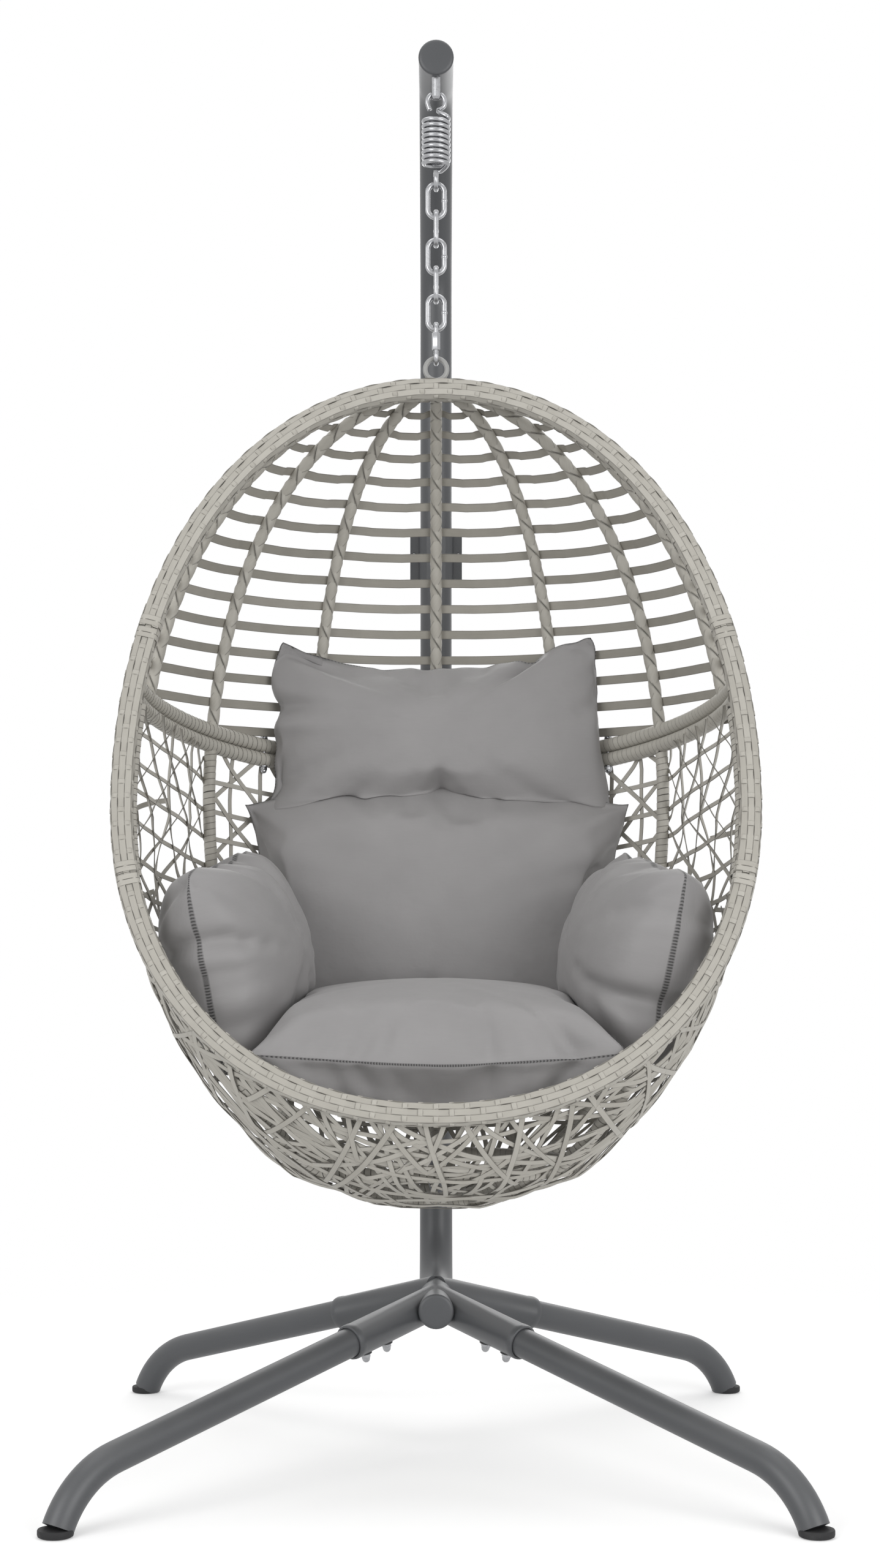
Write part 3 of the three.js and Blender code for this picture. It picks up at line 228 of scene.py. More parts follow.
def rubbery(name, colour):
    """Moulded rubber: matt, with a fine grain and scuffed dust."""
    material, nodes = new_material(name)
    place = nodes.add("TexCoord").outputs["Object"]
    grain = nodes.noise(place, 700.0, 3.0)
    scuff = nodes.ramp(nodes.noise(place, 55.0, 4.0), (0.5, 0.0), (0.8, 0.4))
    tone = nodes.mix(scuff, (*colour, 1.0), (0.07, 0.07, 0.07, 1.0))
    return finished(material, nodes, tone, 0.75, nodes.bump(grain, 0.3, 0.0004))


RUBBER = rubbery("black_rubber", (0.014, 0.014, 0.015))


def array(points):
    return np.array([tuple(p) for p in points], float)


def unit(vectors):
    return vectors / np.maximum(np.linalg.norm(vectors, axis=-1, keepdims=True), 1e-12)


def headings(points, closed=False):
    """The direction of a line at each of its points."""
    if closed:
        return unit(np.roll(points, -1, 0) - np.roll(points, 1, 0))
    return unit(np.gradient(points, axis=0))


def carried(points, closed=False):
    """Two directions across a line that don't twist about it."""
    along = headings(points, closed)
    start = np.array([0.0, 0.0, 1.0]) if abs(along[0][2]) < 0.9 else np.array([0.0, 1.0, 0.0])
    side = np.zeros_like(points)
    last = start - along[0] * start.dot(along[0])
    for i, a in enumerate(along):
        last = last - a * last.dot(a)
        last /= np.linalg.norm(last)
        side[i] = last
    if closed:
        # the twist that is left over after a full round is shared out evenly
        back = side[-1] - along[0] * side[-1].dot(along[0])
        back /= np.linalg.norm(back)
        angle = math.atan2(np.dot(np.cross(back, side[0]), along[0]), back.dot(side[0]))
        share = angle * np.arange(len(points)) / len(points)
        other = np.cross(along, side)
        side = side * np.cos(share)[:, None] + other * np.sin(share)[:, None]
    return side, np.cross(along, side)


def swept(points, across, outward, section, closed=False, scale=None):
    """A solid made by carrying a section along a line. Returns its points and faces."""
    section = np.asarray(section, float)
    grow = np.ones(len(points)) if scale is None else scale
    rings = (points[:, None]
             + across[:, None] * (section[None, :, :1] * grow[:, None, None])
             + outward[:, None] * (section[None, :, 1:] * grow[:, None, None]))
    return lofted(rings, closed)


def lofted(rings, closed=False):
    """A solid skinned over a row of rings, which run counter-clockwise as seen from the last."""
    count, sides = rings.shape[:2]
    i, j = np.meshgrid(np.arange(count if closed else count - 1), np.arange(sides), indexing="ij")
    nxt, turn = (i + 1) % count, (j + 1) % sides
    corners = [i * sides + j, i * sides + turn, nxt * sides + turn, nxt * sides + j]
    faces = np.stack(corners, -1).reshape(-1, 4).tolist()
    if not closed:
        faces.append(list(range(sides))[::-1])
        faces.append(list(range((count - 1) * sides, count * sides)))
    return rings.reshape(-1, 3), faces


def circle(radius, sides):
    turn = np.arange(sides) * 2 * math.pi / sides
    return np.stack([radius * np.cos(turn), radius * np.sin(turn)], 1)


def tube(points, radius, sides=32, closed=False):
    points = np.asarray(points, float)
    return swept(points, *carried(points, closed), circle(radius, sides), closed)


def turned(foot, axis, profile, sides=40):
    """A round solid: profile gives (radius, distance along the axis) pairs from one end to the other."""
    axis = Vector(axis).normalized()
    side = axis.orthogonal().normalized()
    other = axis.cross(side)
    points = np.array([tuple(Vector(foot) + axis * d) for _, d in profile])
    rings = np.array([max(r, 1e-5) for r, _ in profile])
    count = len(profile)
    return swept(points, np.tile(tuple(side), (count, 1)), np.tile(tuple(other), (count, 1)),
                 circle(1.0, sides), scale=rings)


def raised(distance, profile):
    """The same profile further along its axis."""
    return [(radius, distance + d) for radius, d in profile]


def joined(parts):
    """One list of points and one of faces from several solids."""
    points, faces, start = [], [], 0
    for part_points, part_faces in parts:
        points.append(part_points)
        faces.extend([[v + start for v in face] for face in part_faces])
        start += len(part_points)
    return np.concatenate(points), faces


def piece(name, solid, material, body, replaces=(), crease=38.0):
    """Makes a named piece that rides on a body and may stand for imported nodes."""
    mesh = mesh_of(name, *solid)
    mesh.update()
    mesh.shade_smooth()
    mesh.set_sharp_from_angle(angle=math.radians(crease))
    mesh.materials.append(material)
    thing = placed(name, mesh)
    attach(thing, body)
    if replaces:
        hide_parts(*replaces)
    return thing


def sloping(level, angle):
    """The direction that lies below a level one by an angle."""
    return level * math.cos(angle) - Vector((0, 0, math.sin(angle)))


def bent(start, heading, bends, lift=0.0):
    """Points of a tube's middle line: straight lengths and bends in one upright plane.
    heading is level, lift is the angle below it, and each bend turns further down by its angle."""
    place = Vector(start)
    level = Vector(heading).normalized()
    angle = lift
    points = [place.copy()]
    for length, turn, radius in bends:
        if turn == 0.0:
            place = place + sloping(level, angle) * length
            points.append(place.copy())
            continue
        steps = max(8, int(abs(turn) * 14))
        for _ in range(steps):
            middle = angle + turn / steps / 2
            chord = 2 * radius * math.sin(abs(turn) / steps / 2)
            place = place + sloping(level, middle) * chord
            angle += turn / steps
            points.append(place.copy())
    return array(points)


POLE_RADIUS = 0.024
POLE_REAR_Y = 0.365
POLE_TOP_Z = 1.926
POLE_FRONT_Y = -0.012
POLE_JOINT_Z = 1.297
TOP_BEND = 0.12
TOP_SLOPE = 0.2
slope_drop = TOP_SLOPE * math.sqrt(0.5)
quarter = math.radians(45.0)
top_line = bent((0, POLE_FRONT_Y, POLE_TOP_Z), (0, 1, 0), [
    (POLE_REAR_Y - TOP_BEND - slope_drop - POLE_FRONT_Y, 0.0, 0.0),
    (0.0, quarter, TOP_BEND),
    (TOP_SLOPE, 0.0, 0.0),
    (0.0, quarter, TOP_BEND),
    (POLE_TOP_Z - TOP_BEND - slope_drop - POLE_JOINT_Z - 0.0003, 0.0, 0.0),
])
piece("upper_pole_tube", tube(top_line, POLE_RADIUS, 40), CHARCOAL, "stand", ["upper_pole"])

HUB_Z = 0.2
HUB_FRONT_Y = -0.014
LOWER_STRAIGHT = 0.25
LOWER_LEAN = math.radians(10.0)
LEAN_RADIUS = 1.2
HUB_BEND = 0.11
slanted_drop = POLE_JOINT_Z - LOWER_STRAIGHT - LEAN_RADIUS * math.sin(LOWER_LEAN) - HUB_Z
slanted = (slanted_drop - HUB_BEND * (1 - math.sin(LOWER_LEAN))) / math.cos(LOWER_LEAN)
lower_bends = [
    (LOWER_STRAIGHT, 0.0, 0.0),
    (0.0, -LOWER_LEAN, LEAN_RADIUS),
    (slanted, 0.0, 0.0),
    (0.0, LOWER_LEAN - math.pi / 2, HUB_BEND),
]
lower_start = (0, POLE_REAR_Y, POLE_JOINT_Z)
bend_end = bent(lower_start, (0, -1, 0), lower_bends, math.pi / 2)[-1]
lower_line = bent(lower_start, (0, -1, 0), [*lower_bends, (bend_end[1] - HUB_FRONT_Y, 0.0, 0.0)], math.pi / 2)
neck = turned((0, POLE_REAR_Y, POLE_JOINT_Z - 0.01), (0, 0, 1), [
    (0.0205, 0.0), (0.0205, 0.095), (0.019, 0.1), (0.0, 0.1)])

SOCKET_RADIUS = 0.0235
SOCKET_REACH = 0.18
SOCKET_Z = 0.205
SOCKET_Y = {-1: 0.05, 1: 0.13}
LEG_RADIUS = 0.02
LEG_INSERT = 0.085
LEG_BEND = 0.126
FOOT_SPREAD = 0.455
FOOT_CAP_TOP = 0.0093
FOOT_STEEP = math.pi / 2 - math.radians(20.0)
CORNERS = [("front_left", -1, -1), ("front_right", 1, -1), ("rear_left", -1, 1), ("rear_right", 1, 1)]


def leg_run(side_x, side_y):
    """Where a leg starts and ends, its level heading, its slope and its straight length."""
    root = Vector((0.0, SOCKET_Y[side_y], SOCKET_Z))
    foot = Vector((side_x * FOOT_SPREAD, side_y * FOOT_SPREAD, 0.0))
    level = foot - root
    level.z = 0.0
    distance = level.length
    low, high = 0.0, math.radians(30.0)
    for _ in range(40):
        slope = (low + high) / 2
        run = distance - LEG_BEND * (math.sin(FOOT_STEEP) - math.sin(slope))
        landing = SOCKET_Z - run * math.tan(slope) - LEG_BEND * (math.cos(slope) - math.cos(FOOT_STEEP))
        low, high = (slope, high) if landing > 0 else (low, slope)
    return root, foot, level.normalized(), slope, run / math.cos(slope)


hub_parts = [tube(lower_line, POLE_RADIUS, 40), neck]
nut_parts, washer_parts = [], []
for corner, side_x, side_y in CORNERS:
    root, foot, level, slope, straight = leg_run(side_x, side_y)
    along = sloping(level, slope)
    # a socket is an open sleeve with a rolled lip at its mouth
    hub_parts.append(turned(root, along, [(SOCKET_RADIUS, 0.0), *raised(SOCKET_REACH, [
        (SOCKET_RADIUS, -0.012), (SOCKET_RADIUS + 0.0006, -0.011), (SOCKET_RADIUS + 0.0008, -0.004),
        (SOCKET_RADIUS, -0.0008), (SOCKET_RADIUS - 0.0012, 0.0), (LEG_RADIUS + 0.0009, 0.0),
        (LEG_RADIUS + 0.0008, -0.03)])]))
    start = root + along * (SOCKET_REACH - LEG_INSERT)
    leg_line = bent(start, level, [
        (straight - (SOCKET_REACH - LEG_INSERT), 0.0, 0.0),
        (0.0, FOOT_STEEP - slope, LEG_BEND),
        (LEG_RADIUS, 0.0, 0.0),
    ], slope)
    keep = leg_line[:, 2] > FOOT_CAP_TOP
    last = int(np.nonzero(keep)[0][-1])
    a, b = leg_line[last], leg_line[last + 1]
    end = a + (b - a) * ((a[2] - FOOT_CAP_TOP) / (a[2] - b[2]))
    leg_tube = tube(np.vstack([leg_line[:last + 1], end]), LEG_RADIUS, 36)
    piece("leg_tube_" + corner, leg_tube, CHARCOAL, "stand", ["leg_" + corner])
    # the foot cap is a rubber cup with a thin black sole line and a softer ring above it
    foot_cap = turned(foot, (0, 0, 1), [
        (0.0, 0.0), (0.0195, 0.0), (0.0215, 0.0012), (0.022, 0.003), (0.022, 0.0078), (0.0214, 0.0092),
        (0.0, FOOT_CAP_TOP)])
    piece("foot_" + corner, foot_cap, RUBBER, "stand", ["foot_cap_" + corner])
    down = along.cross(level.cross(Vector((0, 0, 1)))).normalized()
    if down.z > 0:
        down.negate()
    for reach in (0.11, 0.152):
        seat = root + along * reach
        face = SOCKET_RADIUS - 0.0006
        washer_parts.append(turned(seat, down, raised(face, [
            (0.0, -0.001), (0.0092, -0.001), (0.0092, 0.0014), (0.0, 0.0014)]), 28))
        nut_parts.append(turned(seat, down, raised(face, [
            (0.0068, 0.0014), (0.0068, 0.006), (0.0062, 0.0066)]), 6))
        nut_parts.append(turned(seat, down, raised(face, [
            (0.0058, 0.0055), (0.0057, 0.0085), (0.0048, 0.0115), (0.003, 0.0134), (0.001, 0.0142),
            (0.0, 0.0143)]), 24))
piece("lower_pole_tube", joined(hub_parts), CHARCOAL, "stand", ["lower_pole_with_sockets"])
piece("leg_washers", joined(washer_parts), BLACK, "stand")


def metallic(name, colour, roughness, tarnish):
    """Plated steel: bright, with cloudy patches in the plating and fine rubbed lines."""
    material, nodes = new_material(name)
    place = nodes.add("TexCoord").outputs["Object"]
    cloud = nodes.noise(place, 140.0, 4.0)
    rubbed = nodes.noise(nodes.add("Mapping", {0: place, 3: (1.0, 1.0, 0.06)}).outputs[0], 1800.0)
    low = tuple(c * (1 - tarnish) for c in colour)
    tone = nodes.mix(cloud, (*low, 1.0), (*colour, 1.0))
    rough = nodes.plus(nodes.times(cloud, 0.16), roughness)
    return finished(material, nodes, tone, rough, nodes.bump(rubbed, 0.1, 0.0002), {"Metallic": 1.0})


ZINC = metallic("bright_zinc_plate", (0.47, 0.475, 0.49), 0.2, 0.42)
piece("leg_nuts", joined(nut_parts), ZINC, "stand")
for name, y, z in (("pole_top_plug", POLE_FRONT_Y, POLE_TOP_Z), ("pole_base_plug", HUB_FRONT_Y, HUB_Z)):
    radius = POLE_RADIUS + 0.0004
    node = "pole_top_cap" if z > 1 else "pole_base_cap"
    piece(name, turned((0, y - 0.0003, z), (0, -1, 0), [
        (0.0, 0.0), (radius, 0.0), (radius, 0.0028), (radius - 0.0006, 0.0042), (radius - 0.002, 0.0052),
        (radius - 0.005, 0.0058), (0.008, 0.006), (0.0, 0.006)]), CHARCOAL, "stand", [node])
for node in ("clamp_front_shell", "clamp_rear_shell",
             "clamp_bolt_left", "clamp_bolt_right", "hanging_eyelet"):
    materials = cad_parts[node].data.materials
    materials.clear()
    materials.append(CHARCOAL if node.endswith("shell") else ZINC)

# ---- Spring, chain and quick link ----
# Zinc-plated steel wire: a spring hooked through the eyelet, five welded oval links, each a quarter turn
# from the last, and a link closed by a threaded sleeve. That link carries the basket's ring.
HOOK_RADIUS = 0.012
HOLE_Z = 1.8812
COIL_RADIUS = 0.017
COIL_TURNS = 9
COIL_PITCH = 0.0072
WIRE_RADIUS = 0.0032
top_hook_z = HOLE_Z + 0.0005 - HOOK_RADIUS
coil_top = top_hook_z - HOOK_RADIUS - 0.011
coil_low = coil_top - COIL_TURNS * COIL_PITCH
low_hook_z = coil_low - 0.021


def eased(points, count):
    """A smooth line through a few points, as count evenly spaced ones."""
    points = np.asarray(points, float)
    ends = np.vstack([2 * points[0] - points[1], points, 2 * points[-1] - points[-2]])
    out = []
    for i in range(len(points) - 1):
        p0, p1, p2, p3 = ends[i:i + 4]
        for t in np.linspace(0, 1, 12, endpoint=False):
            out.append(0.5 * (2 * p1 + (p2 - p0) * t + (2 * p0 - 5 * p1 + 4 * p2 - p3) * t * t
                              + (3 * p1 - p0 - 3 * p2 + p3) * t ** 3))
    return evenly(np.array([*out, points[-1]]), count)


def run_along(points):
    """How far along a line each of its points lies."""
    return np.concatenate([[0.0], np.cumsum(np.linalg.norm(np.diff(points, axis=0), axis=1))])


def read_at(at, run, values):
    """Values that are known at the distances run, read off at other distances."""
    return np.stack([np.interp(at, run, values[:, k]) for k in range(3)], -1)


def evenly(points, count):
    """The same line with its points at equal steps."""
    run = run_along(points)
    return read_at(np.linspace(0, run[-1], count), run, points)


def upright(reach, rise, across_x):
    """Points of a curve that stands upright, across the chair or from its front to its back."""
    level = np.zeros_like(reach)
    return np.stack([reach, level, rise] if across_x else [level, reach, rise], 1)


def hook(centre_z, across_x, degrees):
    turn = np.radians(degrees)
    return upright(HOOK_RADIUS * np.cos(turn), centre_z + HOOK_RADIUS * np.sin(turn), across_x)


top_hook = hook(top_hook_z, True, np.arange(205, -36, -15))
low_hook = hook(low_hook_z, False, np.arange(35, -206, -15))
coil_turn = np.arange(COIL_TURNS * 8 + 1) * math.pi / 4 - math.pi / 8
coil = np.stack([COIL_RADIUS * np.cos(coil_turn), COIL_RADIUS * np.sin(coil_turn),
                 coil_top - COIL_PITCH * np.arange(COIL_TURNS * 8 + 1) / 8], 1)
spring_line = np.vstack([
    top_hook[0] + np.array([0.35, 0, -1]) * 2 * WIRE_RADIUS,
    top_hook,
    (0.003, 0.0, top_hook_z - 0.012),
    (0.008, -0.005, coil_top + 0.0055),
    coil,
    (0.007, 0.003, coil_low - 0.0065),
    (0.0, 0.003, low_hook_z + 0.013),
    low_hook,
    low_hook[-1] + np.array([0, 0.35, 1]) * 2 * WIRE_RADIUS,
])
spring_mesh = mesh_of("spring_wire", *tube(eased(spring_line, 900), WIRE_RADIUS, 14))
spring_mesh.shade_smooth()
spring_mesh.materials.append(ZINC)
spring = placed("spring_wire", spring_mesh)
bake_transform(spring)
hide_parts("suspension_spring")


def oval(top_z, length, width, across_x, count=72):
    """The middle line of a link: two straight limbs and two half-round bows."""
    bow = width / 2
    half = count // 2
    turn = np.linspace(0, math.pi, half)
    turn = np.concatenate([turn, turn + math.pi])
    middle = np.where(np.arange(2 * half) < half, top_z - bow, top_z - length + bow)
    return upright(bow * np.cos(turn), middle + bow * np.sin(turn), across_x)


LINK_WIRE = 0.0035
LINK_LENGTH = 0.046
LINK_WIDTH = 0.023
QUICK_WIRE = 0.0032
QUICK_LENGTH = 0.054
QUICK_WIDTH = 0.017
PLAY = 0.0003
bar_z, bar_wire = low_hook_z - HOOK_RADIUS, WIRE_RADIUS
for number in range(1, 6):
    top_z = bar_z + bar_wire + LINK_WIRE + PLAY
    bar_z, bar_wire = top_z - LINK_LENGTH, LINK_WIRE
    limb_x = LINK_WIDTH / 2 if number % 2 else 0.0
    limb_y = 0.0 if number % 2 else LINK_WIDTH / 2
    # the butt weld on one limb stands a little proud of the wire
    weld = turned((limb_x, limb_y, top_z - LINK_LENGTH / 2 - 0.0022), (0, 0, 1), [
        (0.0034, 0.0), (0.00385, 0.0008), (0.004, 0.0022), (0.00385, 0.0036), (0.0034, 0.0044)], 20)
    link = tube(oval(top_z, LINK_LENGTH, LINK_WIDTH, number % 2 == 1), LINK_WIRE, 18, closed=True)
    piece("link_%d" % number, joined([link, weld]), ZINC, "chain_%d" % number,
          ["chain_link_%d" % number])
top_z = bar_z + bar_wire + QUICK_WIRE + PLAY
bar_z = top_z - QUICK_LENGTH
sleeve_z = bar_z + QUICK_WIDTH / 2 + 0.008
thread = [turned((0, -QUICK_WIDTH / 2, sleeve_z - 0.0065 + i * 0.001), (0, 0, 1), [
    (0.003, 0.0), (0.0034, 0.0005), (0.003, 0.001)], 18) for i in range(6)]
quick_loop = tube(oval(top_z, QUICK_LENGTH, QUICK_WIDTH, False), QUICK_WIRE, 18, closed=True)
piece("closing_link", joined([quick_loop, *thread]), ZINC, "quick_link", ["quick_link"])
piece("closing_sleeve", turned((0, -QUICK_WIDTH / 2, sleeve_z), (0, 0, 1), [
    (0.0035, 0.0), (0.0052, 0.0), (0.0059, 0.0008), (0.0059, 0.0232), (0.0052, 0.024), (0.0035, 0.024)], 6),
      ZINC, "sleeve", ["quick_link_sleeve"])
LIFT_RADIUS = 0.015
LIFT_WIRE = 0.0033
lift_z = bar_z + QUICK_WIRE + LIFT_WIRE + PLAY - LIFT_RADIUS
turn = np.arange(64) * 2 * math.pi / 64
lift_line = upright(LIFT_RADIUS * np.cos(turn), lift_z + LIFT_RADIUS * np.sin(turn), True)
RING_PAINT = painted("pale_grey_ring_paint", (0.33, 0.33, 0.32), 0.34, 0.1)
piece("rim_lifting_ring", tube(lift_line, LIFT_WIRE, 18, closed=True), RING_PAINT, "basket",
      ["lifting_ring"])

# ---- Rim: a woven band round the opening ----
# A steel bar under lengthwise strips of flat resin wicker, with a cross strip woven over and under them every
# 19.5 mm. Four lengths meet at two seams on each side, and strips wound tight round each end close them.


def grouped(name, inputs, outputs):
    """A node group with value or colour sockets. Returns the group and its inner nodes."""
    group = bpy.data.node_groups.new(name, "ShaderNodeTree")
    for socket, kind in inputs:
        group.interface.new_socket(socket, in_out="INPUT", socket_type="NodeSocket" + kind)
    for socket, kind in outputs:
        group.interface.new_socket(socket, in_out="OUTPUT", socket_type="NodeSocket" + kind)
    return group, Nodes(group)


# resin strip: fine drawn lines along it, cloudy tone, and painted shade darkening its edges, where strips meet
strip_group, inner = grouped("drawn_strip", [("Light", "Color"), ("Dark", "Color")],
                             [("Colour", "Color"), ("Height", "Float"), ("Shine", "Float")])
group_in = inner.add("Attribute", attribute_name="strip_place")
strip_axes = inner.add("SeparateXYZ", {0: group_in.outputs["Vector"]}).outputs
across, along, strip_shade = strip_axes[0], strip_axes[1], strip_axes[2]
lines_at = inner.add("CombineXYZ", {0: across, 1: inner.times(along, 0.02), 2: inner.times(strip_shade, 7.0)})
drawn = inner.noise(lines_at.outputs[0], 1700.0)
cloud_at = inner.add("CombineXYZ", {0: across, 1: along, 2: strip_shade}).outputs[0]
cloud = inner.noise(cloud_at, 45.0, 3.0)
# painted shade: each strip is darkened towards near black along its two edges
edge_shade = inner.ramp(inner.math("ABSOLUTE", inner.times(across, 250.0)), (0.8, 0.0), (1.0, 0.75))
tints = inner.tree.nodes.new("NodeGroupInput")
light_share = inner.plus(inner.times(cloud, 0.5), inner.times(strip_shade, 0.5))
tone = inner.mix(light_share, tints.outputs["Dark"], tints.outputs["Light"])
tone = inner.mix(inner.times(drawn, 0.22), tone, (0.16, 0.15, 0.13, 1.0))
tone = inner.mix(edge_shade, tone, (0.09, 0.085, 0.075, 1.0))
shine = inner.plus(inner.times(cloud, 0.2), 0.42)
result = inner.tree.nodes.new("NodeGroupOutput")
for socket, value in (("Colour", tone), ("Height", drawn), ("Shine", shine)):
    inner.tree.links.new(value, result.inputs[socket])


def wicker(name, light, dark):
    material, nodes = new_material(name)
    strip = nodes.add("Group", {"Light": (*light, 1.0), "Dark": (*dark, 1.0)}, node_tree=strip_group).outputs
    bump = nodes.bump(strip["Height"], 0.35, 0.0003)
    return finished(material, nodes, strip["Colour"], strip["Shine"], bump, {"Specular IOR Level": 0.4})


PALE_WICKER = wicker("pale_resin_wicker", (0.56, 0.54, 0.488), (0.42, 0.40, 0.355))
# a darker copy of the pale wicker, as painted shade: the straps are seen on their inner side, in shade
SHADED_WICKER = wicker("shaded_resin_wicker", (0.42, 0.40, 0.355), (0.29, 0.275, 0.24))


def shadowed(name):
    """The wrapped steel seen between the strips: near black, painted shade for the gaps, with a mottle of dull
    paint and dust.
    """
    material, nodes = new_material(name)
    place = nodes.add("TexCoord").outputs["Object"]
    mottle = nodes.noise(place, 220.0, 3.0)
    tone = nodes.mix(mottle, (0.022, 0.021, 0.019, 1.0), (0.075, 0.072, 0.065, 1.0))
    return finished(material, nodes, tone, 0.8, nodes.bump(mottle, 0.3, 0.0005))


# near black: painted shade seen in the gaps between the strips
GAP_SHADE_CORE = shadowed("steel_under_wicker_shade")


class Strips:
    """Gathers flat strips into one mesh, and notes each point's place across, along and its strip's shade."""

    def __init__(self, seed):
        self.random = np.random.default_rng(seed)
        self.parts = []
        self.places = []

    def lay(self, points, normals, width, thickness, closed=False):
        """One strip with its face turned to the normals. Its long edges are rounded off."""
        points = np.asarray(points, float)
        along = headings(points, closed)
        outward = unit(normals - along * np.sum(along * normals, -1, keepdims=True))
        side = np.cross(outward, along)
        w, t = width / 2, thickness / 2
        section = np.array([(-w, -t * 0.4), (-w * 0.93, -t), (w * 0.93, -t), (w, -t * 0.4), (w, t * 0.45),
                            (w * 0.92, t * 0.92), (0.0, t), (-w * 0.92, t * 0.92), (-w, t * 0.45)])
        self.parts.append(swept(points, side, outward, section, closed))
        self.noted(points, section, w)

    def noted(self, points, section, w):
        run = run_along(points) + self.random.uniform(0, 9)
        shade = self.random.uniform(0, 1)
        place = np.zeros((len(points), len(section), 3))
        place[:, :, 0] = (section[:, 0] * 0.004 / w)[None]
        place[:, :, 1] = run[:, None]
        place[:, :, 2] = shade
        self.places.append(place.reshape(-1, 3))

    def made(self, name, material, body, replaces=(), core=None):
        """The finished piece. A core is a solid of the bar inside, near black as painted shade in the gaps, in
        the same mesh.
        """
        parts, places = list(self.parts), list(self.places)
        strip_faces = sum(len(faces) for _, faces in parts)
        for solid in core or []:
            parts.append(solid)
            places.append(np.zeros((len(solid[0]), 3)))
        thing = piece(name, joined(parts), material, body, replaces, 36.0)
        layer = thing.data.attributes.new("strip_place", "FLOAT_VECTOR", "POINT")
        layer.data.foreach_set("vector", np.concatenate(places).astype(np.float32).ravel())
        if core:
            thing.data.materials.append(GAP_SHADE_CORE)
            slots = np.zeros(len(thing.data.polygons), np.int32)
            slots[strip_faces:] = 1
            thing.data.polygons.foreach_set("material_index", slots)
        return thing


# the basket's form: an upright rim in one sloping plane, and behind it a stack of level ovals
RIM_TOP_Z = 1.472
RIM_BOTTOM_Z = 0.496
RIM_SLOPE = 0.359
WIDEST_Z = 0.915
HALF_WIDTH = 0.408
BACK_Y = 0.256
BOTTOM_Z = 0.364
BOTTOM_Y = -0.12
FRONT_FULLNESS = 0.766
TOP_POWER = 2.1
BOTTOM_POWER = 2.2
BACK_POWER = 2.0


def rim_y(z):
    return -RIM_SLOPE * (RIM_TOP_Z - z)


def arch(share, power):
    return np.maximum(0.0, 1 - np.clip(share, 0, None) ** power) ** (1 / power)


def body_section(z):
    """Half width, centre, and depths behind and before it of the body at a height."""
    z = np.asarray(z, float)
    up = np.clip((z - WIDEST_Z) / (RIM_TOP_Z - WIDEST_Z), 0, 1)
    down = np.clip((WIDEST_Z - z) / (WIDEST_Z - BOTTOM_Z), 0, 1)
    above = z >= WIDEST_Z
    size = np.where(above, arch(up, TOP_POWER), arch(down, BOTTOM_POWER))
    half = HALF_WIDTH * size
    centre = np.where(above, rim_y(z), rim_y(WIDEST_Z) + (BOTTOM_Y - rim_y(WIDEST_Z)) * down)
    back = np.where(above, BACK_Y * arch(up, BACK_POWER) - centre, (BACK_Y - centre) * size)
    return half, centre, back, FRONT_FULLNESS * half


def body_point(z, turn):
    z, turn = np.broadcast_arrays(np.asarray(z, float), np.asarray(turn, float))
    half, centre, back, front = body_section(z)
    depth = np.where(np.cos(turn) >= 0, back, front)
    return np.stack([half * np.sin(turn), centre + depth * np.cos(turn), z], -1)


def body_outward(z, turn):
    z, turn = np.broadcast_arrays(np.asarray(z, float), np.asarray(turn, float))
    around = body_point(z, turn + 0.01) - body_point(z, turn - 0.01)
    above, below = np.minimum(z + 0.001, RIM_TOP_Z), np.maximum(z - 0.001, BOTTOM_Z)
    rise = body_point(above, turn) - body_point(below, turn)
    return unit(np.cross(rise, around))


def rim_point(turn):
    turn = np.asarray(turn, float)
    up = np.sin(turn) >= 0
    power = np.where(up, TOP_POWER, BOTTOM_POWER)
    reach = np.where(up, RIM_TOP_Z - WIDEST_Z, WIDEST_Z - RIM_BOTTOM_Z)
    z = WIDEST_Z + reach * np.sign(np.sin(turn)) * np.abs(np.sin(turn)) ** (2 / power)
    x = HALF_WIDTH * np.sign(np.cos(turn)) * np.abs(np.cos(turn)) ** (2 / power)
    return np.stack([x, rim_y(z), z], -1)


def rim_turn(z):
    """The angle round the rim at a height, on the right-hand side."""
    if z >= WIDEST_Z:
        return math.asin(((z - WIDEST_Z) / (RIM_TOP_Z - WIDEST_Z)) ** (TOP_POWER / 2))
    return -math.asin(((WIDEST_Z - z) / (WIDEST_Z - RIM_BOTTOM_Z)) ** (BOTTOM_POWER / 2))


RIM_BACK = np.array(Vector((0, 1, -RIM_SLOPE)).normalized())
RIM_HALF_WIDE = 0.015
RIM_HALF_DEEP = 0.011
STRIP = 0.0014
CROSS_PITCH = 0.0195
LANES = 10


def rim_section(angle):
    """Place and outward direction on the band's rounded section, as (across, deep) pairs."""
    power = 2 / 3.2
    c, s = np.cos(angle), np.sin(angle)
    place = np.stack([np.sign(c) * np.abs(c) ** power * RIM_HALF_WIDE,
                      np.sign(s) * np.abs(s) ** power * RIM_HALF_DEEP], -1)
    normal = unit(np.stack([np.sign(c) * np.abs(place[..., 0] / RIM_HALF_WIDE) ** 2.2 / RIM_HALF_WIDE,
                            np.sign(s) * np.abs(place[..., 1] / RIM_HALF_DEEP) ** 2.2 / RIM_HALF_DEEP], -1))
    return place, normal


def line_length(points):
    return np.sum(np.linalg.norm(np.diff(points, axis=0), axis=1))


def rim_length(first, last):
    """The band's middle line between two angles, at even steps, with its two directions across."""
    line = rim_point(np.linspace(first, last, 900))
    total = line_length(line)
    line = evenly(line, max(12, int(total / 0.0025)))
    along = headings(line)
    side = np.cross(along, RIM_BACK)
    return line, side, total


def section_angles(count):
    """Angles that part the section's outline into equal lengths."""
    fine = np.linspace(0, 2 * math.pi, 721)
    place, _ = rim_section(fine)
    run = run_along(place)
    return np.interp((np.arange(count) + 0.5) / count * run[-1], run, fine)


